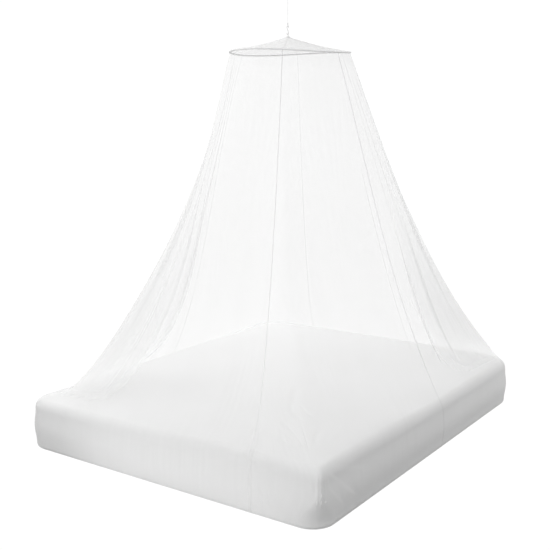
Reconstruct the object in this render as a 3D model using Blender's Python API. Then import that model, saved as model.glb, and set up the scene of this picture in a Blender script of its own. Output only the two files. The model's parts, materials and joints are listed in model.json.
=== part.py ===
"""Bell mosquito net hung over a double mattress.

A round hoop, gathered in a sleeve, spreads a low net roof of six triangles and
a bell skirt of six net gores.  The skirt falls over the edge of a mattress, is
drawn down its sides and tucked under it all round.  A loop at the roof's peak
hangs in an S-hook, and a taut cord runs from that hook up to a ceiling hook.

Metres, +Z up.  The origin is on the floor under the mattress's centre, +Y runs
along the bed towards its head, and azimuths are degrees from +X towards +Y.
"""

import math
from collections import namedtuple

import bmesh
import bpy
from mathutils import Vector

# ---------------------------------------------------------------- driving sizes
BED_WIDTH = 1.62            # over the net drawn round the mattress
BED_LENGTH = 2.00
BED_HEIGHT = 0.233
FOOT_CORNER = 0.105         # corner radii seen from above
HEAD_CORNER = 0.160
CRISP_CORNER = 0.036        # the foot right corner is drawn tight towards its top
CRISP_FROM = 0.02           # between these heights
CRISP_TO = 0.15
KEPT_CORNER = 0.034         # no corner is tighter, however far in
EDGE_RADIUS = 0.045         # top edge
LOW_RADIUS = 0.018          # bottom edge
SIDE_BULGE = 0.008          # how far the sides stand out at mid height
CROWN = 0.024               # how much higher the mattress stands at its fullest
CROWN_AT = -50.0            # which is near its foot right corner
CROWN_REACH = 34.0          # degrees over which that fades
CROWN_DEPTH = 0.60          # and how far in from the sides

NET_THICKNESS = 0.0015
NET_CLEAR = 0.003           # net to mattress, over its edges and down its sides
SEAT = 0.0003               # pieces that touch
TUCK = 0.085                # net under the mattress, inward of the bottom edge

HOOP_RADIUS = 0.285
HOOP_HEIGHT = 1.823
HOOP_ROD = 0.0025           # radius of the hoop's rod
HOOP_STEPS = 40
HOOP_TWIST = 0.0075         # the hoop is a little out of flat
HOOP_TILT = 0.005
NEAR_AZIMUTH = -55.65       # side of the hoop that the twist and tilt are given from

APEX_HEIGHT = 1.893
APEX_RADIUS = 0.006         # the roof's tips stop here
ROOF_SAG = 1.5              # above 1 the roof is hollow, like a tent
PEAK_X = -0.009             # the peak and its cord hang a little off the hoop's centre
PEAK_Y = -0.006

HOOK_WIRE = 0.0015
HOOK_BEND = 0.005           # bend radius of the hook, to the middle of its wire
HOOK_SPREAD = 0.028         # between the centres of its two bends
CORD_RADIUS = 0.001
KNOT_RADIUS = 0.0032
KNOT_HEIGHT = 0.007
KNOT_NECK = 0.0015          # radius of the knot's two ends
CORD_TOP = 2.093            # foot of the cord's upper knot
PLATE_RADIUS = 0.014
PLATE_THICKNESS = 0.004
PLATE_ROUND = 0.003         # the plate's lower edge
SHANK = 0.020               # from the ceiling hook's bend centre to its plate
SHANK_STRAIGHT = 0.011      # where the shank comes back to the axis
TAB_FOOT = 0.0105           # the roof's peak tab, from its foot up
TAB_HEIGHT = 0.006
TAB_NECK = 0.004

LIFT_GROWS = 0.35           # share of the fall over which a fold rises
LIFT_FADES = 0.20           # and over which it dies out above the mattress
MATTRESS_ROUND = 0.015      # how much rounder the mattress's lower edge is than the net's
CRISP_LAG = 0.010           # and how much higher its foot right corner turns crisp

DRAPE_STEPS = 12            # rows of faces from the hoop to the mattress
EDGE_STEPS = 6
SIDE_STEPS = 4
UNDER_STEPS = 3
CORD_STEPS = 24
CORNER_STEPS = 6            # columns round each mattress corner
WIDEST_STEP = 9.0           # degrees between columns elsewhere
CLOSEST_STEP = 0.7          # nearer columns are merged
TOP_RINGS = 5               # rings of faces on the mattress's top, round its flat middle
ROOF_COLUMNS = 6            # faces across and up a roof panel
ROOF_RINGS = 6
RING_CROWDING = 0.8         # below 1 the rings close up towards the peak
NORMAL_ROW = 0.02           # reach of the slopes that normals come from, in rows
NORMAL_TURN = 0.05          # and in degrees

EDGE_QUARTER = EDGE_RADIUS * math.pi / 2.0
LOW_QUARTER = LOW_RADIUS * math.pi / 2.0
SIDE_HEIGHT = BED_HEIGHT - EDGE_RADIUS - LOW_RADIUS

SLEEVE_INNER = HOOP_ROD + SEAT
SLEEVE_OUTER = SLEEVE_INNER + NET_THICKNESS
SLEEVE_FLAT = SLEEVE_OUTER * math.cos(math.pi / 8)

# How the skirt falls in each direction: its lean at the hoop, how far over the
# edge's curve it lands (metres of cloth from the top of the side), and how
# strongly the curve keeps its first and last direction.
Fall = namedtuple("Fall", "azimuth lean lands start_hold end_hold")
FALLS = (
    Fall(-129.0, 0.16, 0.095, 0.376, 0.105),    # foot left corner, lies on the top
    Fall(-90.0, 0.45, 0.035, 0.33, 0.33),       # foot
    Fall(-51.0, 0.24, 0.080, 0.33, 0.10),       # foot right corner
    Fall(0.0, 0.36, 0.022, 0.33, 0.33),         # right side
    Fall(51.0, 0.37, 0.042, 0.57, 0.13),         # head right corner
    Fall(90.0, 0.45, 0.035, 0.33, 0.33),        # head
    Fall(129.0, 0.24, 0.080, 0.33, 0.10),       # head left corner
    Fall(180.0, 0.36, 0.022, 0.33, 0.33),       # left side
)

# The gores between their seams.  Each line runs from the hoop to the mattress:
# a seam, a ridge (lift above 0) or a trough (below 0).  Lift is in millimetres
# at its fullest, and begins is the share of the fall at which it starts.
Line = namedtuple("Line", "at_hoop at_bed lift begins")
GORES = {
    "gore_foot": (
        Line(-117, -119, 0, 0.0),
        Line(-111, -112, -10, 0.2), Line(-105, -103, 24, 0.1), Line(-99, -97, -10, 0.2),
        Line(-91, -91, 8, 0.4), Line(-84, -84, -7, 0.4), Line(-76, -77, 11, 0.3),
        Line(-69, -71, -5, 0.4), Line(-63, -64, 0, 0.0),
    ),
    "gore_foot_right": (
        Line(-63, -64, 0, 0.0),
        Line(-61, -50, -9, 0.2), Line(-58, -38, 20, 0.2), Line(-48, -31, -12, 0.3),
        Line(-38, -26, 12, 0.4), Line(-30, -21, -13, 0.4), Line(-24, -16, 25, 0.4),
        Line(-18, -10, -12, 0.2), Line(-14, -4, 18, 0.1), Line(-10, 1, -10, 0.1),
        Line(-7, 5, 0, 0.0),
    ),
    "gore_right": (
        Line(-7, 5, 0, 0.0),
        Line(2, 11, -14, 0.3), Line(8, 16, 18, 0.3), Line(15, 22, -20, 0.3),
        Line(22, 29, 12, 0.2), Line(29, 35, -26, 0.2), Line(36, 41, 12, 0.1),
        Line(43, 46, -22, 0.1), Line(49, 51, 12, 0.0), Line(56, 57, -14, 0.1),
        Line(62, 66.5, 0, 0.0),
    ),
    "gore_head": (
        Line(62, 66.5, 0, 0.0),
        Line(68, 71, -10, 0.2), Line(73, 75, 18, 0.2), Line(79, 80, -10, 0.3),
        Line(89, 89, 12, 0.4), Line(97, 96, -10, 0.4), Line(104, 103, 14, 0.3),
        Line(110, 109, -10, 0.3), Line(116, 115, 0, 0.0),
    ),
    "gore_head_left": (
        Line(116, 115, 0, 0.0),
        Line(122, 122, -12, 0.2), Line(128, 129, 17, 0.1), Line(135, 135, -14, 0.2),
        Line(144, 143, 15, 0.3), Line(152, 151, -12, 0.3), Line(161, 160, 12, 0.4),
        Line(170, 168, -10, 0.4), Line(179, 177, 0, 0.0),
    ),
    "gore_left": (
        Line(179, 177, 0, 0.0),
        Line(186, 185, -14, 0.3), Line(193, 193, 16, 0.3), Line(201, 201, -20, 0.3),
        Line(209, 209, 12, 0.2), Line(216, 216, -28, 0.2), Line(223, 223, 12, 0.1),
        Line(229, 229, -24, 0.1), Line(236, 235, 10, 0.0), Line(243, 241, 0, 0.0),
    ),
}

# Linear base colours, roughness, metallic.
Finish = namedtuple("Finish", "colour roughness metallic")
FINISHES = {
    "net": Finish((0.86, 0.86, 0.86), 0.85, 0.0),
    "tape": Finish((0.74, 0.74, 0.74), 0.80, 0.0),
    "hoop": Finish((0.80, 0.80, 0.80), 0.45, 0.0),
    "hook": Finish((0.72, 0.72, 0.72), 0.35, 0.0),
    "cord": Finish((0.88, 0.88, 0.88), 0.80, 0.0),
    "mattress": Finish((0.80, 0.80, 0.81), 0.90, 0.0),
}


# ------------------------------------------------------------------ small tools
def ease(x):
    """0 to 1, smooth at both ends."""
    x = min(max(x, 0.0), 1.0)
    return x * x * (3.0 - 2.0 * x)


def mix(a, b, share):
    return a + (b - a) * share


def finish(name):
    """The material of this name, made once."""
    made = bpy.data.materials.get(name)
    if made:
        return made
    made = bpy.data.materials.new(name)
    made.use_nodes = True
    shader = made.node_tree.nodes["Principled BSDF"]
    look = FINISHES[name]
    shader.inputs["Base Color"].default_value = (*look.colour, 1.0)
    shader.inputs["Roughness"].default_value = look.roughness
    shader.inputs["Metallic"].default_value = look.metallic
    return made


def add_object(name, bm, look, smooth=30.0):
    """A named object from a bmesh, smooth but for edges sharper than smooth degrees."""
    mesh = bpy.data.meshes.new(name)
    bmesh.ops.recalc_face_normals(bm, faces=bm.faces)
    bm.to_mesh(mesh)
    bm.free()
    mesh.materials.append(finish(look))
    mesh.shade_smooth()
    mesh.set_sharp_from_angle(angle=math.radians(smooth))
    made = bpy.data.objects.new(name, mesh)
    bpy.context.collection.objects.link(made)
    return made


def skin_rows(bm, rows, closed=False):
    """Faces between rows of vertices; closed joins each row's ends."""
    for first, second in zip(rows, rows[1:]):
        count = len(first)
        for n in range(count if closed else count - 1):
            m = (n + 1) % count
            bm.faces.new((first[n], first[m], second[m], second[n]))


def swept_ring(section, centre_height):
    """A closed ring: section(azimuth) gives (radius, height) points round one cut."""
    bm = bmesh.new()
    cuts = []
    for step in range(HOOP_STEPS):
        azimuth = 360.0 * step / HOOP_STEPS
        along = math.radians(azimuth)
        lift = centre_height(azimuth)
        cuts.append([
            bm.verts.new((radius * math.cos(along), radius * math.sin(along), lift + height))
            for radius, height in section
        ])
    cuts.append(cuts[0])
    skin_rows(bm, cuts, closed=True)
    return bm


def octagon(radius):
    """Points (out, up) of an octagon with flat top and bottom, from its inner side."""
    turns = (math.radians(202.5 + 45.0 * n) for n in range(8))
    return [(radius * math.cos(a), radius * math.sin(a)) for a in turns]


# ---------------------------------------------------------- the shape of the net
def hoop_height(azimuth):
    """Height of the hoop's rod at an azimuth; it is slightly twisted and tilted."""
    turn = math.radians(azimuth - NEAR_AZIMUTH)
    return HOOP_HEIGHT - HOOP_TWIST * math.sin(2.0 * turn) - HOOP_TILT * math.cos(turn)


def crown(azimuth):
    """How many times its height the mattress has at an azimuth."""
    turn = (azimuth - CROWN_AT + 180.0) % 360.0 - 180.0
    return 1.0 + CROWN / BED_HEIGHT * math.exp(-(turn / CROWN_REACH) ** 2)


def corner_radius(sign_x, sign_y, inset, height):
    """Radius of a corner: square at the foot, softer at the head, tightest at the foot right."""
    if sign_y > 0.0:
        radius = HEAD_CORNER
    elif sign_x < 0.0:
        radius = FOOT_CORNER
    else:
        share = ease((height - CRISP_FROM) / (CRISP_TO - CRISP_FROM))
        radius = mix(FOOT_CORNER, CRISP_CORNER, share)
    return max(radius - inset, KEPT_CORNER)


def outline_radius(azimuth, inset, height):
    """Distance from the axis to the rounded outline drawn inset from the bed's size."""
    half_x = BED_WIDTH / 2.0 - inset
    half_y = BED_LENGTH / 2.0 - inset
    cos_a = math.cos(math.radians(azimuth))
    sin_a = math.sin(math.radians(azimuth))
    corner = corner_radius(cos_a, sin_a, inset, height)
    cos_a, sin_a = abs(cos_a), abs(sin_a)
    straight = min(half_x / max(cos_a, 1e-9), half_y / max(sin_a, 1e-9))
    mid_x, mid_y = half_x - corner, half_y - corner
    if straight * cos_a <= mid_x or straight * sin_a <= mid_y:
        return straight
    along = cos_a * mid_x + sin_a * mid_y
    reach = along * along - (mid_x * mid_x + mid_y * mid_y - corner * corner)
    return along + math.sqrt(max(reach, 0.0))


def corner_azimuths(height):
    """Azimuths of points round the mattress's four corners."""
    azimuths = []
    for turn, sign_x, sign_y in ((0, 1, 1), (90, -1, 1), (180, -1, -1), (270, 1, -1)):
        corner = corner_radius(sign_x, sign_y, 0.0, height)
        mid_x = BED_WIDTH / 2.0 - corner
        mid_y = BED_LENGTH / 2.0 - corner
        for step in range(CORNER_STEPS + 1):
            angle = math.radians(turn + 90.0 * step / CORNER_STEPS)
            azimuths.append(math.degrees(math.atan2(sign_y * mid_y + corner * math.sin(angle),
                                                    sign_x * mid_x + corner * math.cos(angle))))
    return azimuths


def side_bulge(height):
    """How far the side stands out at a height."""
    share = (height - LOW_RADIUS) / SIDE_HEIGHT
    return SIDE_BULGE * math.sin(math.pi * min(max(share, 0.0), 1.0)) ** 2


def edge_section(cloth):
    """(inset, height, turn) on the bed's edge, measured along the cloth.

    cloth is 0 at the top of the side, positive back over the edge and on to the
    top, negative down the side and under.  turn is 0 on the side, a right angle
    on the top.
    """
    if cloth >= 0.0:
        turn = min(cloth / EDGE_RADIUS, math.pi / 2.0)
        inset = EDGE_RADIUS * (1.0 - math.cos(turn)) + max(cloth - EDGE_QUARTER, 0.0)
        return inset, BED_HEIGHT - EDGE_RADIUS * (1.0 - math.sin(turn)), turn
    down = -cloth
    if down <= SIDE_HEIGHT:
        height = BED_HEIGHT - EDGE_RADIUS - down
        return -side_bulge(height), height, 0.0
    under = down - SIDE_HEIGHT
    turn = min(under / LOW_RADIUS, math.pi / 2.0)
    inset = LOW_RADIUS * (1.0 - math.cos(turn)) + max(under - LOW_QUARTER, 0.0)
    return inset, LOW_RADIUS * (1.0 - math.sin(turn)), -turn


def fall_at(azimuth):
    """The fall's values at any azimuth, eased between the rows of FALLS."""
    first = FALLS[0].azimuth
    turn = (azimuth - first) % 360.0 + first
    rows = FALLS + (FALLS[0]._replace(azimuth=first + 360.0),)
    for low, high in zip(rows, rows[1:]):
        if turn <= high.azimuth:
            share = ease((turn - low.azimuth) / (high.azimuth - low.azimuth))
            return Fall(*(mix(a, b, share) for a, b in zip(low, high)))
    return rows[-1]


def line_at(lines, at_bed):
    """(azimuth at the hoop, lift, begins) of the thread that meets the bed there."""
    for low, high in zip(lines, lines[1:]):
        if at_bed <= high.at_bed:
            share = max((at_bed - low.at_bed) / (high.at_bed - low.at_bed), 0.0)
            return (
                mix(low.at_hoop, high.at_hoop, share),
                mix(low.lift, high.lift, ease(share)) / 1000.0,
                mix(low.begins, high.begins, share),
            )
    return lines[-1].at_hoop, 0.0, 0.0


def hanging_point(lines, at_bed, share):
    """Outer face of the hanging cloth, share 0 at the hoop and 1 at the bed."""
    at_hoop, lift, begins = line_at(lines, at_bed)
    fall = fall_at(at_bed)
    inset, bed_z, turn = edge_section(fall.lands)
    start = Vector((HOOP_RADIUS + NET_THICKNESS / 2.0,
                    hoop_height(at_hoop) - SLEEVE_FLAT - SEAT))
    end = Vector((outline_radius(at_bed, inset, bed_z), bed_z * crown(at_bed)))
    chord = (end - start).length
    leaving = Vector((fall.lean, -1.0)).normalized()
    landing = Vector((math.sin(turn), -math.cos(turn)))
    pull_1 = start + leaving * fall.start_hold * chord
    pull_2 = end - landing * fall.end_hold * chord
    back = 1.0 - share
    point = (start * back ** 3 + pull_1 * 3.0 * share * back ** 2
             + pull_2 * 3.0 * share ** 2 * back + end * share ** 3)
    along = ((pull_1 - start) * back ** 2 + (pull_2 - pull_1) * 2.0 * share * back
             + (end - pull_2) * share ** 2).normalized()
    full = ease((share - begins) / LIFT_GROWS) * ease((1.0 - share) / LIFT_FADES)
    point += Vector((-along.y, along.x)) * lift * full
    azimuth = math.radians(mix(at_hoop, at_bed, ease(share)))
    return Vector((point.x * math.cos(azimuth), point.x * math.sin(azimuth), point.y))


def bed_point(at_bed, cloth):
    """Outer face of the cloth on the bed, at a distance along the cloth."""
    inset, height, _ = edge_section(cloth)
    radius = outline_radius(at_bed, inset, height)
    azimuth = math.radians(at_bed)
    return Vector((radius * math.cos(azimuth), radius * math.sin(azimuth),
                   height * crown(at_bed)))


def skirt_point(lines, at_bed, row):
    """Outer face of a gore, row 0 at the hoop; whole numbers are the rows of faces."""
    if row <= DRAPE_STEPS:
        return hanging_point(lines, at_bed, row / DRAPE_STEPS)
    row -= DRAPE_STEPS
    if row <= EDGE_STEPS:
        lands = fall_at(at_bed).lands
        left = 1.0 - row / EDGE_STEPS
        over = min(lands, EDGE_QUARTER) * left + max(lands - EDGE_QUARTER, 0.0) * left ** 6
        return bed_point(at_bed, over)
    row -= EDGE_STEPS
    if row <= SIDE_STEPS:
        return bed_point(at_bed, -SIDE_HEIGHT * row / SIDE_STEPS)
    row -= SIDE_STEPS
    if row <= UNDER_STEPS:
        return bed_point(at_bed, -SIDE_HEIGHT - LOW_QUARTER * row / UNDER_STEPS)
    row -= UNDER_STEPS
    return bed_point(at_bed, -SIDE_HEIGHT - LOW_QUARTER - (TUCK - LOW_RADIUS) * row)


LAST_ROW = DRAPE_STEPS + EDGE_STEPS + SIDE_STEPS + UNDER_STEPS + 1


def skirt_normal(lines, at_bed, row):
    """Outward direction of a gore, from its neighbours on the same side of each bend."""
    low, high = max(row - NORMAL_ROW, 0.0), min(row + NORMAL_ROW, LAST_ROW)
    down = skirt_point(lines, at_bed, high) - skirt_point(lines, at_bed, low)
    left = max(at_bed - NORMAL_TURN, lines[0].at_bed)
    right = min(at_bed + NORMAL_TURN, lines[-1].at_bed)
    across = skirt_point(lines, right, row) - skirt_point(lines, left, row)
    return down.cross(across).normalized()


def gore_columns(lines):
    """Azimuths at the bed of a gore's columns: its lines, the corners and fill-ins."""
    columns = [line.at_bed for line in lines]
    for azimuth in corner_azimuths(0.0) + corner_azimuths(BED_HEIGHT):
        for again in (azimuth, azimuth + 360.0):
            if lines[0].at_bed < again < lines[-1].at_bed:
                columns = [c for c in columns if abs(c - again) > CLOSEST_STEP
                           or c in (lines[0].at_bed, lines[-1].at_bed)]
                columns.append(again)
    columns.sort()
    filled = []
    for low, high in zip(columns, columns[1:]):
        parts = math.ceil((high - low) / WIDEST_STEP)
        filled += [mix(low, high, n / parts) for n in range(parts)]
    return filled + [columns[-1]]


# --------------------------------------------------------------------- the pieces
def build_gore(name, lines):
    """One gore of the skirt, a thin sheet from the hoop to its hem under the bed."""
    bm = bmesh.new()
    columns = gore_columns(lines)
    outer, inner = [], []
    for row in range(LAST_ROW + 1):
        outer_row, inner_row = [], []
        for n, at_bed in enumerate(columns):
            point = skirt_point(lines, at_bed, row)
            normal = skirt_normal(lines, at_bed, row)
            if row == 0:
                normal.z = 0.0          # the top edge lies level under the sleeve
            side = (n == 0) - (n == len(columns) - 1)
            around = Vector((-point.y, point.x, 0.0)).normalized()
            if side:                    # a seam's two edges face each other squarely
                normal -= around * normal.dot(around)
            normal.normalize()
            point += around * side * SEAT / 2.0
            outer_row.append(bm.verts.new(point))
            inner_row.append(bm.verts.new(point - normal * NET_THICKNESS))
        outer.append(outer_row)
        inner.append(inner_row)
    skin_rows(bm, outer)
    skin_rows(bm, inner)
    skin_rows(bm, [outer[0], inner[0]])
    skin_rows(bm, [outer[-1], inner[-1]])
    for side in (0, -1):
        skin_rows(bm, [[row[side] for row in outer], [row[side] for row in inner]])
    return add_object(name, bm, "net", 60.0)


def roof_top(azimuth, radius):
    """Underside of the roof at a distance from its axis."""
    rim = hoop_height(azimuth) + SLEEVE_FLAT + SEAT
    share = max(1.0 - radius / HOOP_RADIUS, 0.0)
    return rim + (APEX_HEIGHT - rim) * share ** ROOF_SAG


def build_roof_panel(name, first, last):
    """One triangle of the roof, from the sleeve to the peak."""
    bm = bmesh.new()
    lower, upper = [], []
    for ring in range(ROOF_RINGS + 1):
        radius = mix(HOOP_RADIUS + SEAT, APEX_RADIUS, (ring / ROOF_RINGS) ** RING_CROWDING)
        low_row, high_row = [], []
        for n in range(ROOF_COLUMNS + 1):
            azimuth = mix(first, last, n / ROOF_COLUMNS)
            along = math.radians(azimuth)
            side = (n == 0) - (n == ROOF_COLUMNS)
            shift = max(1.0 - radius / HOOP_RADIUS, 0.0)
            point = Vector((radius * math.cos(along) + PEAK_X * shift,
                            radius * math.sin(along) + PEAK_Y * shift,
                            roof_top(azimuth, radius)))
            point += Vector((-math.sin(along), math.cos(along), 0.0)) * side * SEAT / 2.0
            low_row.append(bm.verts.new(point))
            high_row.append(bm.verts.new(point + Vector((0.0, 0.0, NET_THICKNESS))))
        lower.append(low_row)
        upper.append(high_row)
    skin_rows(bm, lower)
    skin_rows(bm, upper)
    skin_rows(bm, [lower[0], upper[0]])
    skin_rows(bm, [lower[-1], upper[-1]])
    for side in (0, -1):
        skin_rows(bm, [[row[side] for row in lower], [row[side] for row in upper]])
    return add_object(name, bm, "net", 60.0)


def build_hoop():
    """The springy rod that spreads the net."""
    section = [(HOOP_RADIUS + out, up) for out, up in octagon(HOOP_ROD)]
    return add_object("hoop", swept_ring(section, hoop_height), "hoop", 60.0)


def build_sleeve():
    """The tape sleeve round the hoop, open along its inner side."""
    section = octagon(SLEEVE_OUTER) + octagon(SLEEVE_INNER)[::-1]
    section = [(HOOP_RADIUS + out, up) for out, up in section]
    return add_object("hoop_sleeve", swept_ring(section, hoop_height), "tape", 40.0)


def build_mattress():
    """The plain mattress, with soft rounded edges, slightly full sides and a crowned top."""
    margin = NET_THICKNESS + NET_CLEAR
    top = BED_HEIGHT - margin
    bottom = NET_THICKNESS + SEAT
    top_radius = EDGE_RADIUS - margin
    bottom_radius = LOW_RADIUS + MATTRESS_ROUND
    quarters = [math.radians(22.5 * n) for n in range(5)]
    levels = [(margin + bottom_radius * (1.0 - math.sin(a)),
               bottom + bottom_radius * (1.0 - math.cos(a))) for a in quarters]
    sides = [LOW_RADIUS + SIDE_HEIGHT * n / SIDE_STEPS for n in range(1, SIDE_STEPS)]
    levels += [(margin - side_bulge(height), height) for height in sides]
    levels += [(margin + top_radius * (1.0 - math.cos(a)),
                top - top_radius * (1.0 - math.sin(a))) for a in quarters]
    levels += [(mix(EDGE_RADIUS, CROWN_DEPTH, n / TOP_RINGS), top)
               for n in range(1, TOP_RINGS + 1)]
    columns = [c for lines in GORES.values() for c in gore_columns(lines)[:-1]]

    bm = bmesh.new()
    rings = []
    for inset, height in levels:
        ring = []
        for azimuth in columns:
            radius = outline_radius(azimuth, inset, height - CRISP_LAG)
            along = math.radians(azimuth)
            inward = ease((inset - EDGE_RADIUS) / (CROWN_DEPTH - EDGE_RADIUS))
            ring.append(bm.verts.new((radius * math.cos(along), radius * math.sin(along),
                                      height * mix(crown(azimuth), 1.0, inward))))
        rings.append(ring)
    skin_rows(bm, rings, closed=True)
    bm.faces.new(rings[0])
    bm.faces.new(rings[-1])
    return add_object("mattress", bm, "mattress", 40.0)


def add_tube(name, points, radius, look):
    """A round tube along points, with filled ends."""
    curve = bpy.data.curves.new(name, "CURVE")
    curve.dimensions = "3D"
    curve.bevel_depth = radius
    curve.bevel_resolution = 2
    curve.use_fill_caps = True
    spline = curve.splines.new("POLY")
    spline.points.add(len(points) - 1)
    for target, point in zip(spline.points, points):
        target.co = (*point, 1.0)
    curve.materials.append(finish(look))
    made = bpy.data.objects.new(name, curve)
    bpy.context.collection.objects.link(made)
    return made


def add_turned(name, profile, look, steps, foot):
    """A solid turned about the cord from (radius, height above foot) points, low to high."""
    bm = bmesh.new()
    rings = []
    for radius, height in profile:
        turns = (2.0 * math.pi * n / steps for n in range(steps))
        rings.append([bm.verts.new((PEAK_X + radius * math.cos(a), PEAK_Y + radius * math.sin(a),
                                    foot + height)) for a in turns])
    skin_rows(bm, rings, closed=True)
    bm.faces.new(rings[0])
    bm.faces.new(rings[-1])
    return add_object(name, bm, look, 40.0)


def add_ring(name, height, radius, tube, look):
    """A ring that stands on the cord's line in the YZ plane, centred at a height."""
    bpy.ops.mesh.primitive_torus_add(
        major_radius=radius, minor_radius=tube, major_segments=20, minor_segments=8,
        location=(PEAK_X, PEAK_Y, height), rotation=(0.0, math.pi / 2.0, 0.0))
    made = bpy.context.object
    made.name = name
    made.data.materials.append(finish(look))
    made.data.shade_smooth()
    return made


def unite(base, *others):
    """Joins other solids to base, and removes them."""
    for other in others:
        cut = base.modifiers.new("Joined " + other.name, "BOOLEAN")
        cut.operation = "UNION"
        cut.solver = "EXACT"
        cut.object = other
        other.hide_render = True
        other.display_type = "WIRE"
    return base


def as_mesh(curve_object):
    """The same object as a mesh."""
    name = curve_object.name
    view = bpy.context.evaluated_depsgraph_get()
    mesh = bpy.data.meshes.new_from_object(curve_object.evaluated_get(view))
    bpy.data.objects.remove(curve_object, do_unlink=True)
    made = bpy.data.objects.new(name, mesh)
    bpy.context.collection.objects.link(made)
    return made


def bend(height, first, last):
    """Points round part of a hook's bend in the XZ plane, in degrees."""
    steps = math.ceil(abs(last - first) / 20.0)
    angles = (math.radians(mix(first, last, n / steps)) for n in range(steps + 1))
    return [(PEAK_X + HOOK_BEND * math.cos(a), PEAK_Y, height + HOOK_BEND * math.sin(a))
            for a in angles]


def build_peak_loop():
    """The tab that gathers the roof's tips, and its loop; returns the loop's centre."""
    tips = max(roof_top(azimuth, APEX_RADIUS) for azimuth in range(0, 360, 5))
    foot = tips + NET_THICKNESS + SEAT
    tab = add_turned("peak_loop", [(TAB_FOOT, 0.0), (TAB_FOOT - 0.001, 0.4 * TAB_HEIGHT),
                                   (TAB_NECK, TAB_HEIGHT)], "tape", 16, foot)
    centre = foot + TAB_HEIGHT + HOOK_BEND - HOOK_WIRE / 2.0
    unite(tab, add_ring("peak_loop_ring", centre, HOOK_BEND, HOOK_WIRE, "tape"))
    return centre


def build_eye(name, foot, centre, radius):
    """A knot in the cord's end, with its eye."""
    swell = 0.3 * KNOT_HEIGHT
    knot = add_turned(name, [(KNOT_NECK, 0.0), (KNOT_RADIUS, swell),
                             (KNOT_RADIUS, KNOT_HEIGHT - swell), (KNOT_NECK, KNOT_HEIGHT)],
                      "cord", 12, foot)
    unite(knot, add_ring(name + "_ring", centre, radius, CORD_RADIUS, "cord"))


def build_hanging():
    """Peak loop, S-hook, cord with its knots, and the ceiling hook."""
    over = HOOK_BEND - HOOK_WIRE - SEAT     # from a bend's centre to what hangs in it
    eye = HOOK_BEND - CORD_RADIUS / 2.0     # radius of the cord's eyes

    # the hook's lower bend carries the loop's top, its upper bend the cord's eye
    low = build_peak_loop() + HOOK_BEND - HOOK_WIRE + over
    high = low + HOOK_SPREAD
    add_tube("s_hook", bend(low, 160.0, 370.0) + bend(high, 190.0, -20.0), HOOK_WIRE, "hook")
    eye_low = high + over - CORD_RADIUS + eye
    build_eye("cord_eye_low", eye_low + eye, eye_low, eye)

    foot = eye_low + eye + KNOT_HEIGHT + SEAT
    add_tube("cord", [(PEAK_X, PEAK_Y, mix(foot, CORD_TOP - SEAT, n / CORD_STEPS))
                      for n in range(CORD_STEPS + 1)], CORD_RADIUS, "cord")
    eye_high = CORD_TOP + KNOT_HEIGHT + eye
    build_eye("cord_eye_high", CORD_TOP, eye_high, eye)

    # the ceiling hook: a plate, and a bend that the upper eye pulls down on
    centre = eye_high + eye - CORD_RADIUS - HOOK_WIRE - SEAT + HOOK_BEND
    wire = bend(centre, 150.0, 390.0)
    wire += [(PEAK_X, PEAK_Y, centre + SHANK_STRAIGHT), (PEAK_X, PEAK_Y, centre + SHANK)]
    plate = add_turned("ceiling_hook", [(PLATE_RADIUS - PLATE_ROUND, 0.0),
                                        (PLATE_RADIUS, PLATE_THICKNESS / 2.0),
                                        (PLATE_RADIUS, PLATE_THICKNESS)], "hook", 20,
                       centre + SHANK - PLATE_THICKNESS / 2.0)
    unite(plate, as_mesh(add_tube("ceiling_hook_wire", wire, HOOK_WIRE, "hook")))


def build():
    for old in list(bpy.data.objects):
        bpy.data.objects.remove(old, do_unlink=True)
    for name, lines in GORES.items():
        build_gore(name, lines)
        build_roof_panel(name.replace("gore", "roof"), lines[0].at_hoop, lines[-1].at_hoop)
    build_hoop()
    build_sleeve()
    build_mattress()
    build_hanging()


build()
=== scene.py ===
"""Looks of a bell mosquito net that hangs over a double mattress.

The sheer gores and roof panels are fine sheets on the folds of the CAD's solids,
with narrower folds of their own.  Seams, stitches, tape, hoop, hooks, cord and the
covered mattress are added round them.  Metres, +Z up, azimuths in degrees from +X.
"""

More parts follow.
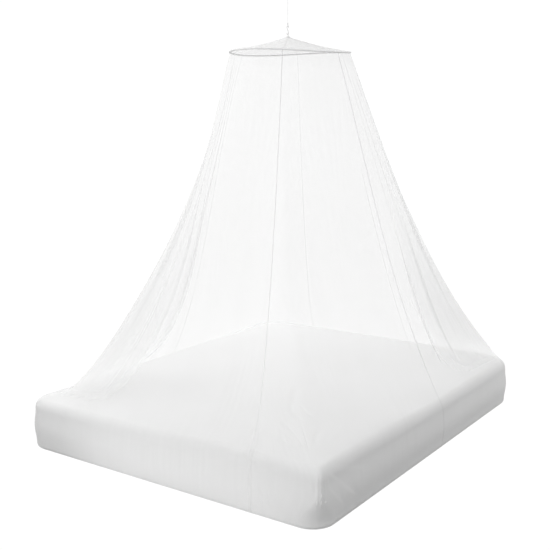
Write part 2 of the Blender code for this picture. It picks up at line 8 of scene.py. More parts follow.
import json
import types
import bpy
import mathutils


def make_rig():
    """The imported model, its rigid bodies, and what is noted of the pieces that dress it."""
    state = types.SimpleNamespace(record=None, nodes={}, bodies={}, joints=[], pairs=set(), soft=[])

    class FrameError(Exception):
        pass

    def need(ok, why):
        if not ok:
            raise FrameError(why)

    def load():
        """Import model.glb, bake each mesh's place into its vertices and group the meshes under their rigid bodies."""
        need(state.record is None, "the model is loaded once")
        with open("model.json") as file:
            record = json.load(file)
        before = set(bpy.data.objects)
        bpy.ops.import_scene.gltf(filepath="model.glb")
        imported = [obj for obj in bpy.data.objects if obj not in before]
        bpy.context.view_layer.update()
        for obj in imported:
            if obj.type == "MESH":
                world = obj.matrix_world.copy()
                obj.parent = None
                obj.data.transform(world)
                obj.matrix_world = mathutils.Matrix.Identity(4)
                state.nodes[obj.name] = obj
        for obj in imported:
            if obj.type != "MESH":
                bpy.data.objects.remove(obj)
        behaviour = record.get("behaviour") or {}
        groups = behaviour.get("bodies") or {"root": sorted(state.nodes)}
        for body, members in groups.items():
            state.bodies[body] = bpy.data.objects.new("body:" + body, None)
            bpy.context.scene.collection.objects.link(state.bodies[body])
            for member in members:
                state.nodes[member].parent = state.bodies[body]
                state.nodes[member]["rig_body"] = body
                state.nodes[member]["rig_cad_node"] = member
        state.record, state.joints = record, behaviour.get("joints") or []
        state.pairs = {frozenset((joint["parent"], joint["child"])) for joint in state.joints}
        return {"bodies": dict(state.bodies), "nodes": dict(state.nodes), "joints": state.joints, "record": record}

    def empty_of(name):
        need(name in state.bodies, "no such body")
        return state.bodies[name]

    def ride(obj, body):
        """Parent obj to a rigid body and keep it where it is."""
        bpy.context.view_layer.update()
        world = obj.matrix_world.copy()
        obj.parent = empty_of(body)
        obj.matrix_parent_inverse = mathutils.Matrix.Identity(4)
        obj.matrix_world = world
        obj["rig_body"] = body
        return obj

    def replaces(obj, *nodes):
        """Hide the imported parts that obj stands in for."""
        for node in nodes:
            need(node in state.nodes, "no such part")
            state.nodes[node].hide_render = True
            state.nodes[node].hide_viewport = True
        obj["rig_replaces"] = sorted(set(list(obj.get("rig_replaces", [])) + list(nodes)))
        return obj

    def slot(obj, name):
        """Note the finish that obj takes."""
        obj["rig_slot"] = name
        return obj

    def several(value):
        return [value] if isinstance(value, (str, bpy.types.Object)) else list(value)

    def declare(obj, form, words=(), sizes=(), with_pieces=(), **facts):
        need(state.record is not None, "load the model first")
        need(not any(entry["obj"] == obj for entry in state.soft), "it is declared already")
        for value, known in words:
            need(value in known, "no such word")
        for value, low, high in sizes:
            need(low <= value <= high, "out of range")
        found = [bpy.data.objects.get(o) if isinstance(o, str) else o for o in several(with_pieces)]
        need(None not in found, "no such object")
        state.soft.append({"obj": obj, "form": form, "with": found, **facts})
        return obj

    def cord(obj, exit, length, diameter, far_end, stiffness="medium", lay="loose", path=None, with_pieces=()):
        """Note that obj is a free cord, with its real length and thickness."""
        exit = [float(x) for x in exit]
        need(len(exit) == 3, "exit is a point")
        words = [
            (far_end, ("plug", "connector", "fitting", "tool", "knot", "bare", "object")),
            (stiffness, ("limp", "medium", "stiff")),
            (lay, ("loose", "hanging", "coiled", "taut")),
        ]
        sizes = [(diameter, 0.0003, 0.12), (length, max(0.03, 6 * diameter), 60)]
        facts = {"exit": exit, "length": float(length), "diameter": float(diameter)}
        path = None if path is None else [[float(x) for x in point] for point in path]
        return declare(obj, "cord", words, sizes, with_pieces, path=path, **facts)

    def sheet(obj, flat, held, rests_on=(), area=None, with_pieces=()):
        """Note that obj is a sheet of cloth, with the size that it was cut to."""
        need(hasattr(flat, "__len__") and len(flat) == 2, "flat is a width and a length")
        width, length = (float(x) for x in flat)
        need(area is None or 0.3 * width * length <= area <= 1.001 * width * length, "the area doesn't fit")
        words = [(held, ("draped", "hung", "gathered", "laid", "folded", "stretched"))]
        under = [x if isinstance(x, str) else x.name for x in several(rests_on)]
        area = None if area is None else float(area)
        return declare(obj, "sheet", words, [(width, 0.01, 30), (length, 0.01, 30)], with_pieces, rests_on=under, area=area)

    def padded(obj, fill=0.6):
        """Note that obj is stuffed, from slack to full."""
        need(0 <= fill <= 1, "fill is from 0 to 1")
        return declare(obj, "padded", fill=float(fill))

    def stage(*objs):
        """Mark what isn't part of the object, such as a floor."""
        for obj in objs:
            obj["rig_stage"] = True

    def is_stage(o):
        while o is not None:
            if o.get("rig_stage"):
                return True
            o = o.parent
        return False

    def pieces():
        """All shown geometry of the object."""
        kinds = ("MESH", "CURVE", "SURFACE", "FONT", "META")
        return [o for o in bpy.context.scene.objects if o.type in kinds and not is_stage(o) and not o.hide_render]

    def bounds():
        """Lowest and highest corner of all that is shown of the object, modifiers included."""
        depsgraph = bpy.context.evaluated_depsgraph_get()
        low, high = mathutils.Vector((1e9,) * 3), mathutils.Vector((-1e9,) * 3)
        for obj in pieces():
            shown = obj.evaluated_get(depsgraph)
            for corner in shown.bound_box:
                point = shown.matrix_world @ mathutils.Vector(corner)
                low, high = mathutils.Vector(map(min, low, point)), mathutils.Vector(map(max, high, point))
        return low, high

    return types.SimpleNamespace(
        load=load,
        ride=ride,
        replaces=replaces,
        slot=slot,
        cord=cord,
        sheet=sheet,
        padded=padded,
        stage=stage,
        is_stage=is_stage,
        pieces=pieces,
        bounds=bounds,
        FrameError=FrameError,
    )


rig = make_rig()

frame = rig.load()
cad_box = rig.bounds()

import json
import math
import random
from collections import namedtuple

import bmesh
import bpy
from mathutils import Vector, noise

# ------------------------------------------------------------- sizes of the object
BED_WIDTH = 1.62
BED_LENGTH = 2.00
BED_HEIGHT = 0.233
FOOT_CORNER = 0.105
HEAD_CORNER = 0.160
CRISP_CORNER = 0.018        # a pulled, sharp fold of the cloth; the solid's own is 0.036
CRISP_FROM = 0.02
CRISP_TO = 0.15
KEPT_CORNER = 0.016
EDGE_RADIUS = 0.045
LOW_RADIUS = 0.018
SIDE_BULGE = 0.008
CROWN = 0.024               # the mattress is fullest at its foot right corner
CROWN_AT = -50.0
CROWN_REACH = 34.0
CROWN_DEPTH = 0.60
NET_THICKNESS = 0.0015
SEAT = 0.0003
TUCK = 0.085

HOOP_RADIUS = 0.285
HOOP_HEIGHT = 1.823
HOOP_ROD = 0.0025
HOOP_TWIST = 0.0075
HOOP_TILT = 0.005
NEAR_AZIMUTH = -55.65

APEX_HEIGHT = 1.893
APEX_RADIUS = 0.006
ROOF_SAG = 1.5
PEAK_X = -0.009
PEAK_Y = -0.006

HOOK_WIRE = 0.0015
HOOK_BEND = 0.005
HOOK_SPREAD = 0.028
CORD_RADIUS = 0.001
KNOT_RADIUS = 0.0032
KNOT_HEIGHT = 0.007
KNOT_NECK = 0.0015
CORD_TOP = 2.093
PLATE_RADIUS = 0.014
PLATE_THICKNESS = 0.004
SHANK = 0.020
SHANK_STRAIGHT = 0.011
TAB_FOOT = 0.0105
TAB_HEIGHT = 0.006
TAB_NECK = 0.004

LIFT_GROWS = 0.35
LIFT_FADES = 0.20
SLEEVE_OUTER = HOOP_ROD + SEAT + NET_THICKNESS
SLEEVE_FLAT = SLEEVE_OUTER * math.cos(math.pi / 8)
EDGE_QUARTER = EDGE_RADIUS * math.pi / 2.0
LOW_QUARTER = LOW_RADIUS * math.pi / 2.0
SIDE_HEIGHT = BED_HEIGHT - EDGE_RADIUS - LOW_RADIUS

# rows of the skirt, as in the solids: hanging, over the edge, side, under, tuck
DRAPE_ROWS, EDGE_ROWS, SIDE_ROWS, UNDER_ROWS = 12, 6, 4, 3
ON_EDGE = DRAPE_ROWS
ON_SIDE = ON_EDGE + EDGE_ROWS
UNDER = ON_SIDE + SIDE_ROWS
ON_TUCK = UNDER + UNDER_ROWS
LAST_ROW = ON_TUCK + 1

Fall = namedtuple("Fall", "azimuth lean lands start_hold end_hold")
FALLS = (
    Fall(-129.0, 0.16, 0.095, 0.376, 0.105),
    Fall(-90.0, 0.45, 0.035, 0.33, 0.33),
    Fall(-51.0, 0.24, 0.080, 0.33, 0.10),
    Fall(0.0, 0.36, 0.022, 0.33, 0.33),
    Fall(51.0, 0.37, 0.042, 0.57, 0.13),
    Fall(90.0, 0.45, 0.035, 0.33, 0.33),
    Fall(129.0, 0.24, 0.080, 0.33, 0.10),
    Fall(180.0, 0.36, 0.022, 0.33, 0.33),
)

# how strongly each corner of the mattress draws folds
Corner = namedtuple("Corner", "azimuth draws")
CORNERS = (Corner(-129.0, 1.0), Corner(-51.0, 0.15), Corner(51.0, 1.0),
           Corner(129.0, 0.15), Corner(231.0, 1.0))
# where the net hangs gathered: azimuths and fullness at the hoop and at the bed, and reach
Gather = namedtuple("Gather", "at_hoop at_bed reach full_at_hoop full_at_bed")
GATHERS = (Gather(34.0, 46.0, 21.0, 0.10, 1.85), Gather(214.0, 226.0, 19.0, 0.0, 1.3))

Line = namedtuple("Line", "at_hoop at_bed lift begins")
GORES = {
    "gore_foot": (
        Line(-117, -119, 0, 0.0),
        Line(-111, -112, -10, 0.2), Line(-105, -103, 24, 0.1), Line(-99, -97, -10, 0.2),
        Line(-91, -91, 8, 0.4), Line(-84, -84, -7, 0.4), Line(-76, -77, 11, 0.3),
        Line(-69, -71, -5, 0.4), Line(-63, -64, 0, 0.0),
    ),
    "gore_foot_right": (
        Line(-63, -64, 0, 0.0),
        Line(-61, -50, -9, 0.2), Line(-58, -38, 20, 0.2), Line(-48, -31, -12, 0.3),
        Line(-38, -26, 12, 0.4), Line(-30, -21, -13, 0.4), Line(-24, -16, 25, 0.4),
        Line(-18, -10, -12, 0.2), Line(-14, -4, 18, 0.1), Line(-10, 1, -10, 0.1),
        Line(-7, 5, 0, 0.0),
    ),
    "gore_right": (
        Line(-7, 5, 0, 0.0),
        Line(2, 11, -14, 0.3), Line(8, 16, 18, 0.3), Line(15, 22, -20, 0.3),
        Line(22, 29, 12, 0.2), Line(29, 35, -26, 0.2), Line(36, 41, 12, 0.1),
        Line(43, 46, -22, 0.1), Line(49, 51, 12, 0.0), Line(56, 57, -14, 0.1),
        Line(62, 66.5, 0, 0.0),
    ),
    "gore_head": (
        Line(62, 66.5, 0, 0.0),
        Line(68, 71, -10, 0.2), Line(73, 75, 18, 0.2), Line(79, 80, -10, 0.3),
        Line(89, 89, 12, 0.4), Line(97, 96, -10, 0.4), Line(104, 103, 14, 0.3),
        Line(110, 109, -10, 0.3), Line(116, 115, 0, 0.0),
    ),
    "gore_head_left": (
        Line(116, 115, 0, 0.0),
        Line(122, 122, -12, 0.2), Line(128, 129, 17, 0.1), Line(135, 135, -14, 0.2),
        Line(144, 143, 15, 0.3), Line(152, 151, -12, 0.3), Line(161, 160, 12, 0.4),
        Line(170, 168, -10, 0.4), Line(179, 177, 0, 0.0),
    ),
    "gore_left": (
        Line(179, 177, 0, 0.0),
        Line(186, 185, -14, 0.3), Line(193, 193, 16, 0.3), Line(201, 201, -20, 0.3),
        Line(209, 209, 12, 0.2), Line(216, 216, -28, 0.2), Line(223, 223, 12, 0.1),
        Line(229, 229, -24, 0.1), Line(236, 235, 10, 0.0), Line(243, 241, 0, 0.0),
    ),
}

# The cut of each gore: width at the hoop, width at the hem and length, in metres.
Cut = namedtuple("Cut", "hoop hem length")
GORE_CUTS = {
    "gore_foot": Cut(0.27, 1.36, 2.22),
    "gore_foot_right": Cut(0.29, 1.40, 2.30),
    "gore_right": Cut(0.35, 1.40, 2.30),
    "gore_head": Cut(0.27, 1.10, 2.25),
    "gore_head_left": Cut(0.32, 1.45, 2.30),
    "gore_left": Cut(0.32, 1.45, 2.30),
}

# -------------------------------------------------------- finer folds and the camera
COLUMN_STEP = 0.16          # degrees between the fine sheets' columns
FINE_ROWS = ((ON_EDGE, 108), (ON_SIDE, 10), (UNDER, 6), (ON_TUCK, 6), (LAST_ROW, 2))
CORNER_REACH = 24.0         # degrees over which a corner draws deeper folds
SEAM_CALM = 1.6             # degrees beside a seam with no narrow folds
FOLD_RADIUS = 0.60          # a narrow fold's lift is a share of the net's radius, up to this
CRIMPS = dict(spacing=(1.8, 3.8), width=(0.50, 0.90), lift=(0.002, 0.006),
              begins=(0.15, 0.45), ends=(0.65, 0.95), corner_share=0.98)
FOLDS = dict(spacing=(2.6, 6.0), width=(0.6, 1.2), lift=(0.008, 0.022),
             begins=(-0.3, 0.35), ends=(0.80, 1.2), corner_share=0.94)
CREASES_PER_DEGREE = 0.16
FOLD_FELT = 2.6             # a narrow fold or crease is felt within this many of its widths
FOLD_EASES = 0.3            # share of the fall over which a narrow fold comes or goes
HOOP_CALM = 0.05            # shares of the fall, from the hoop and above the bed, over which
BED_CALM = 0.34             # all narrow folds come and go
GATHER_BEGINS = 0.15        # share of the fall at which the gathers begin
GATHER_FADES = 0.40         # and over which they fade above the bed
NORMAL_ROW = 0.02           # reach of the slopes that normals come from, in rows
NORMAL_TURN = 0.05          # and in degrees
GATHER_DENSER = 1.1         # how much denser the net is where it is fully gathered

CAMERA_AT = (2.4398, -3.6636, 1.5607)
CAMERA_YAW = 34.585
CAMERA_DOWN = 10.441
FOCAL_PIXELS = 903.5
PICTURE = 550.0


def ease(x):
    x = min(max(x, 0.0), 1.0)
    return x * x * (3.0 - 2.0 * x)


def mix(a, b, share):
    return a + (b - a) * share


def bump(x):
    """A smooth bump, 1 at 0."""
    return math.exp(-x * x)


# --------------------------------------------------------------- the bed's outline
def hoop_height(azimuth):
    turn = math.radians(azimuth - NEAR_AZIMUTH)
    return HOOP_HEIGHT - HOOP_TWIST * math.sin(2.0 * turn) - HOOP_TILT * math.cos(turn)


def crown(azimuth):
    """How many times its height the mattress has at an azimuth."""
    turn = (azimuth - CROWN_AT + 180.0) % 360.0 - 180.0
    return 1.0 + CROWN / BED_HEIGHT * math.exp(-(turn / CROWN_REACH) ** 2)


def corner_radius(sign_x, sign_y, inset, height):
    if sign_y > 0.0:
        radius = HEAD_CORNER
    elif sign_x < 0.0:
        radius = FOOT_CORNER
    else:
        share = ease((height - CRISP_FROM) / (CRISP_TO - CRISP_FROM))
        radius = mix(FOOT_CORNER, CRISP_CORNER, share)
    return max(radius - inset, KEPT_CORNER)


def outline_radius(azimuth, inset, height):
    half_x = BED_WIDTH / 2.0 - inset
    half_y = BED_LENGTH / 2.0 - inset
    cos_a = math.cos(math.radians(azimuth))
    sin_a = math.sin(math.radians(azimuth))
    corner = corner_radius(cos_a, sin_a, inset, height)
    cos_a, sin_a = abs(cos_a), abs(sin_a)
    straight = min(half_x / max(cos_a, 1e-9), half_y / max(sin_a, 1e-9))
    mid_x, mid_y = half_x - corner, half_y - corner
    if straight * cos_a <= mid_x or straight * sin_a <= mid_y:
        return straight
    along = cos_a * mid_x + sin_a * mid_y
    reach = along * along - (mid_x * mid_x + mid_y * mid_y - corner * corner)
    return along + math.sqrt(max(reach, 0.0))


def side_bulge(height):
    share = (height - LOW_RADIUS) / SIDE_HEIGHT
    return SIDE_BULGE * math.sin(math.pi * min(max(share, 0.0), 1.0)) ** 2


def edge_section(cloth):
    """(inset, height, turn) on the bed's edge; cloth runs back over the top from the side."""
    if cloth >= 0.0:
        turn = min(cloth / EDGE_RADIUS, math.pi / 2.0)
        inset = EDGE_RADIUS * (1.0 - math.cos(turn)) + max(cloth - EDGE_QUARTER, 0.0)
        return inset, BED_HEIGHT - EDGE_RADIUS * (1.0 - math.sin(turn)), turn
    down = -cloth
    if down <= SIDE_HEIGHT:
        height = BED_HEIGHT - EDGE_RADIUS - down
        return -side_bulge(height), height, 0.0
    under = down - SIDE_HEIGHT
    turn = min(under / LOW_RADIUS, math.pi / 2.0)
    inset = LOW_RADIUS * (1.0 - math.cos(turn)) + max(under - LOW_QUARTER, 0.0)
    return inset, LOW_RADIUS * (1.0 - math.sin(turn)), -turn


def fall_at(azimuth):
    first = FALLS[0].azimuth
    turn = (azimuth - first) % 360.0 + first
    rows = FALLS + (FALLS[0]._replace(azimuth=first + 360.0),)
    for low, high in zip(rows, rows[1:]):
        if turn <= high.azimuth:
            share = ease((turn - low.azimuth) / (high.azimuth - low.azimuth))
            return Fall(*(mix(a, b, share) for a, b in zip(low, high)))
    return rows[-1]


# ------------------------------------------------------------------- narrow folds
Fold = namedtuple("Fold", "at_bed drift width lift begins ends")


def near_corner(at_bed):
    """1 in line with a corner of the mattress, falling to 0 between them."""
    return max(corner.draws * bump((at_bed - corner.azimuth) / CORNER_REACH)
               for corner in CORNERS)


def gathered(at_bed, share):
    """How full the fine gathers are on a line of the skirt, this share of the way down."""
    most = 0.0
    for gather in GATHERS:
        middle = mix(gather.at_hoop, gather.at_bed, ease(share))
        away = ((at_bed - middle + 180.0) % 360.0 - 180.0) / gather.reach
        full = mix(gather.full_at_hoop, gather.full_at_bed,
                   ease((share - GATHER_BEGINS) / (1.0 - GATHER_BEGINS)))
        most = max(most, full * bump(away * away))
    return most


def fold_row(lines, seed, spacing, width, lift, begins, ends, corner_share):
    """Folds that run down a gore at uneven places; lift is a share of the net's radius."""
    draw = random.Random(seed)
    at_bed, sign, folds = lines[0].at_bed, 1.0, []
    while True:
        at_bed += draw.uniform(*spacing)
        if at_bed > lines[-1].at_bed:
            return folds
        pull = mix(1.0 - corner_share, 1.0, near_corner(at_bed))
        sign = -sign
        folds.append(Fold(at_bed, draw.uniform(-1.0, 1.0), draw.uniform(*width),
                          sign * draw.uniform(*lift) * pull,
                          draw.uniform(*begins), draw.uniform(*ends)))


def edge_creases(lines, seed):
    """Small creases over the mattress's edge and down its side."""
    draw = random.Random(seed)
    first, last = lines[0].at_bed, lines[-1].at_bed
    count = round((last - first) * CREASES_PER_DEGREE)
    creases = []
    for n in range(count):
        at_bed = mix(first, last, (n + draw.uniform(0.1, 0.9)) / count)
        top = draw.uniform(-0.10, 0.09)
        creases.append(Fold(
            at_bed, draw.uniform(-1.2, 1.2), draw.uniform(0.16, 0.42),
            draw.uniform(0.0004, 0.0010) * (0.5 + near_corner(at_bed)),
            top, top - draw.uniform(0.05, 0.16)))
    return creases


def calm(lines, at_bed):
    """0 at a gore's seams, 1 a little way in."""
    return ease(min(at_bed - lines[0].at_bed, lines[-1].at_bed - at_bed) / SEAM_CALM)


def fold_lift(folds, at_bed, share):
    total = 0.0
    for fold in folds:
        away = (at_bed - fold.at_bed - fold.drift * (share - 0.5)) / fold.width
        if -FOLD_FELT < away < FOLD_FELT:
            total += (fold.lift * bump(away) * ease((share - fold.begins) / FOLD_EASES)
                      * ease((fold.ends - share) / FOLD_EASES))
    return total


def crease_lift(creases, at_bed, cloth):
    total = 0.0
    for crease in creases:
        middle = (crease.begins + crease.ends) / 2.0
        half = (crease.begins - crease.ends) / 2.0
        away = (at_bed - crease.at_bed - crease.drift * (cloth - middle) / half) / crease.width
        along = (cloth - middle) / half
        if -FOLD_FELT < away < FOLD_FELT and -1.0 < along < 1.0:
            total += crease.lift * bump(away) * (1.0 - along * along) ** 2
    return total


# -------------------------------------------------------------- the skirt's surface
class Column:
    """One line down a gore, from the hoop's tape to the hem under the mattress."""

    def __init__(self, gore, at_bed):
        self.at_bed = at_bed
        self.at_hoop, self.lift, self.begins = gore.line_at(at_bed)
        self.calm = calm(gore.lines, at_bed)
        self.folds = [fold for fold in gore.folds
                      if abs(at_bed - fold.at_bed)
                      < FOLD_FELT * fold.width + abs(fold.drift) / 2.0]
        self.creases = [crease for crease in gore.creases
                        if abs(at_bed - crease.at_bed)
                        < FOLD_FELT * crease.width + abs(crease.drift)]
        fall = fall_at(at_bed)
        inset, bed_z, turn = edge_section(fall.lands)
        self.lands = fall.lands
        self.start = Vector((HOOP_RADIUS + NET_THICKNESS / 2.0,
                             hoop_height(self.at_hoop) - SLEEVE_FLAT - SEAT))
        self.end = Vector((outline_radius(at_bed, inset, bed_z), bed_z * crown(at_bed)))
        chord = (self.end - self.start).length
        leaving = Vector((fall.lean, -1.0)).normalized()
        landing = Vector((math.sin(turn), -math.cos(turn)))
        self.pull_1 = self.start + leaving * fall.start_hold * chord
        self.pull_2 = self.end - landing * fall.end_hold * chord

    def hanging(self, share):
        back = 1.0 - share
        point = (self.start * back ** 3 + self.pull_1 * 3.0 * share * back ** 2
                 + self.pull_2 * 3.0 * share ** 2 * back + self.end * share ** 3)
        along = ((self.pull_1 - self.start) * back ** 2
                 + (self.pull_2 - self.pull_1) * 2.0 * share * back
                 + (self.end - self.pull_2) * share ** 2).normalized()
        full = ease((share - self.begins) / LIFT_GROWS) * ease((1.0 - share) / LIFT_FADES)
        narrow = fold_lift(self.folds, self.at_bed, share) * self.calm * min(point.x, FOLD_RADIUS)
        narrow *= ease(share / HOOP_CALM) * ease((1.0 - share) / BED_CALM)
        point += Vector((-along.y, along.x)) * (self.lift * full + narrow)
        azimuth = math.radians(mix(self.at_hoop, self.at_bed, ease(share)))
        return Vector((point.x * math.cos(azimuth), point.x * math.sin(azimuth), point.y))

    def on_bed(self, cloth):
        inset, height, turn = edge_section(cloth)
        out = crease_lift(self.creases, self.at_bed, cloth) * self.calm
        radius = outline_radius(self.at_bed, inset, height) + out * math.cos(turn)
        azimuth = math.radians(self.at_bed)
        return Vector((radius * math.cos(azimuth), radius * math.sin(azimuth),
                       height * crown(self.at_bed) + out * math.sin(turn)))

    def fullness(self, row):
        """How gathered the net is above the bed; it lies smooth where it has landed."""
        share = min(row / DRAPE_ROWS, 1.0)
        return gathered(self.at_bed, share) * ease((1.0 - share) / GATHER_FADES)

    def point(self, row):
        if row <= ON_EDGE:
            return self.hanging(row / DRAPE_ROWS)
        if row <= ON_SIDE:
            left = 1.0 - (row - ON_EDGE) / EDGE_ROWS
            return self.on_bed(min(self.lands, EDGE_QUARTER) * left
                               + max(self.lands - EDGE_QUARTER, 0.0) * left ** 6)
        if row <= UNDER:
            return self.on_bed(-SIDE_HEIGHT * (row - ON_SIDE) / SIDE_ROWS)
        if row <= ON_TUCK:
            return self.on_bed(-SIDE_HEIGHT - LOW_QUARTER * (row - UNDER) / UNDER_ROWS)
        return self.on_bed(-SIDE_HEIGHT - LOW_QUARTER - (TUCK - LOW_RADIUS) * (row - ON_TUCK))


class Gore:
    """One gore: its lines, its narrow folds and creases, and its columns."""

    def __init__(self, name):
        self.lines = GORES[name]
        seed = sorted(GORES).index(name) + 11
        self.folds = (fold_row(self.lines, seed, **CRIMPS)
                      + fold_row(self.lines, seed + 20, **FOLDS))
        self.creases = edge_creases(self.lines, seed + 50)

    def line_at(self, at_bed):
        lines = self.lines
        for low, high in zip(lines, lines[1:]):
            if at_bed <= high.at_bed:
                share = max((at_bed - low.at_bed) / (high.at_bed - low.at_bed), 0.0)
                return (mix(low.at_hoop, high.at_hoop, share),
                        mix(low.lift, high.lift, ease(share)) / 1000.0,
                        mix(low.begins, high.begins, share))
        return lines[-1].at_hoop, 0.0, 0.0

    def seam(self, rows):
        """Points, outward directions and directions round the net along the first seam."""
        first = self.lines[0].at_bed
        line, beside = Column(self, first), Column(self, first + NORMAL_TURN)
        for row in rows:
            point = line.point(row)
            down = (line.point(min(row + NORMAL_ROW, LAST_ROW))
                    - line.point(max(row - NORMAL_ROW, 0.0)))
            normal = down.cross(beside.point(row) - point).normalized()
            around = Vector((-point.y, point.x, 0.0)).normalized()
            yield row, point, (normal - around * normal.dot(around)).normalized(), around


def fine_rows():
    rows, start = [0.0], 0.0
    for end, steps in FINE_ROWS:
        rows += [mix(start, end, n / steps) for n in range(1, steps + 1)]
        start = end
    return rows


# ----------------------------------------------------------------- shader groups
def new_group(name, inputs, outputs):
    """An empty shader node group with its sockets, and its two end nodes."""
    group = bpy.data.node_groups.new(name, "ShaderNodeTree")
    for socket, kind, value in inputs:
        made = group.interface.new_socket(socket, in_out="INPUT", socket_type=kind)
        if value is not None:
            made.default_value = value
    for socket, kind in outputs:
        group.interface.new_socket(socket, in_out="OUTPUT", socket_type=kind)
    return (group, group.nodes.new("NodeGroupInput"), group.nodes.new("NodeGroupOutput"))


def math_node(tree, operation, first, second=None, third=None, clamp=False):
    node = tree.nodes.new("ShaderNodeMath")
    node.operation = operation
    node.use_clamp = clamp
    for socket, value in zip(node.inputs, (first, second, third)):
        if value is None:
            continue
        if isinstance(value, (int, float)):
            socket.default_value = value
        else:
            tree.links.new(value, socket)
    return node.outputs[0]


def map_range(tree, value, low, high, new_low, new_high, smooth=True):
    node = tree.nodes.new("ShaderNodeMapRange")
    node.interpolation_type = "SMOOTHSTEP" if smooth else "LINEAR"
    tree.links.new(value, node.inputs["Value"])
    for socket, given in (("From Min", low), ("From Max", high),
                          ("To Min", new_low), ("To Max", new_high)):
        if isinstance(given, (int, float)):
            node.inputs[socket].default_value = given
        else:
            tree.links.new(given, node.inputs[socket])
    return node.outputs[0]


def scaled(tree, vector, scale):
    """The vector times another, given as three numbers."""
    node = tree.nodes.new("ShaderNodeVectorMath")
    node.operation = "MULTIPLY"
    tree.links.new(vector, node.inputs[0])
    node.inputs[1].default_value = scale
    return node.outputs[0]


def dotted(tree, vector, direction):
    node = tree.nodes.new("ShaderNodeVectorMath")
    node.operation = "DOT_PRODUCT"
    tree.links.new(vector, node.inputs[0])
    node.inputs[1].default_value = direction
    return node.outputs["Value"]


def noise_node(tree, vector, scale, detail, roughness=0.5):
    node = tree.nodes.new("ShaderNodeTexNoise")
    tree.links.new(vector, node.inputs["Vector"])
    node.inputs["Scale"].default_value = scale
    node.inputs["Detail"].default_value = detail
    node.inputs["Roughness"].default_value = roughness
    return node.outputs["Fac"]


NET_CELL = 0.0016           # between the net's rows of holes
NET_LETS_THROUGH = 0.42     # share of the threads' light that comes from behind them
# metres of cloth down from the hoop: over which the net changes at the hoop, how far it
# is stretched, and over which it comes to lie on the bed
HOOP_FROM, HOOP_TO = 0.02, 0.09
STRETCHED_TO = 1.5
BED_FROM, BED_TO = 1.35, 1.62


def knitted_net_group():
    """Round holes in a honeycomb of fine threads, denser and looser in streaks."""
    group, given, result = new_group(
        "Knitted net",
        [("Cloth", "NodeSocketVector", None), ("Cell", "NodeSocketFloat", NET_CELL),
         ("Hole", "NodeSocketFloat", 0.07), ("Thread", "NodeSocketFloat", 0.55),
         ("Streaks", "NodeSocketFloat", 0.25), ("Stretched", "NodeSocketFloat", 0.0),
         ("Turned", "NodeSocketFloat", 0.0), ("On bed", "NodeSocketFloat", 1.0),
         ("At hoop", "NodeSocketFloat", 1.0), ("Fullness", "NodeSocketFloat", 0.0)],
        [("Alpha", "NodeSocketFloat"), ("Threads", "NodeSocketFloat"),
         ("Streak", "NodeSocketFloat")])
    links = group.links
    turned = group.nodes.new("ShaderNodeVectorRotate")
    turned.rotation_type = "Z_AXIS"
    links.new(given.outputs["Cloth"], turned.inputs["Vector"])
    links.new(given.outputs["Turned"], turned.inputs["Angle"])
    waves = []
    for turn in (0.0, 120.0, 240.0):
        angle = math.radians(turn)
        along = dotted(group, turned.outputs[0],
                       (2.0 * math.pi * math.cos(angle), 2.0 * math.pi * math.sin(angle), 0.0))
        phase = math_node(group, "DIVIDE", along, given.outputs["Cell"])
        waves.append(math_node(group, "COSINE", phase))
    lattice = math_node(group, "ADD", math_node(group, "ADD", waves[0], waves[1]), waves[2])
    threads = map_range(group, lattice, 1.1, -0.1, 0.0, 1.0)
    streak = noise_node(group, scaled(group, given.outputs["Cloth"], (70.0, 1.3, 1.0)), 1.0, 3.0)
    cloud = noise_node(group, given.outputs["Cloth"], 3.0, 2.0)
    uneven = math_node(group, "ADD", math_node(group, "MULTIPLY", streak, 0.7),
                       math_node(group, "MULTIPLY", cloud, 0.3))
    dense = map_range(group, uneven, 0.3, 0.7, -1.0, 1.0, smooth=False)
    dense = math_node(group, "MULTIPLY", dense, given.outputs["Streaks"])
    down = dotted(group, given.outputs["Cloth"], (0.0, -1.0, 0.0))
    stretch = map_range(group, down, 0.0, STRETCHED_TO, given.outputs["Stretched"], 0.0)
    dense = math_node(group, "SUBTRACT", math_node(group, "ADD", dense, 1.0), stretch)
    alpha = map_range(group, threads, 0.0, 1.0, given.outputs["Hole"],
                      given.outputs["Thread"], smooth=False)
    on_bed = map_range(group, down, BED_FROM, BED_TO, 1.0, given.outputs["On bed"])
    at_hoop = map_range(group, down, HOOP_FROM, HOOP_TO, given.outputs["At hoop"], 1.0)
    alpha = math_node(group, "MULTIPLY", alpha, at_hoop)
    full = math_node(group, "MULTIPLY_ADD", given.outputs["Fullness"], GATHER_DENSER, 1.0)
    alpha = math_node(group, "MULTIPLY", math_node(group, "MULTIPLY", alpha, on_bed), full)
    links.new(math_node(group, "MULTIPLY", alpha, dense, clamp=True), result.inputs["Alpha"])
    links.new(threads, result.inputs["Threads"])
    links.new(uneven, result.inputs["Streak"])
    return group


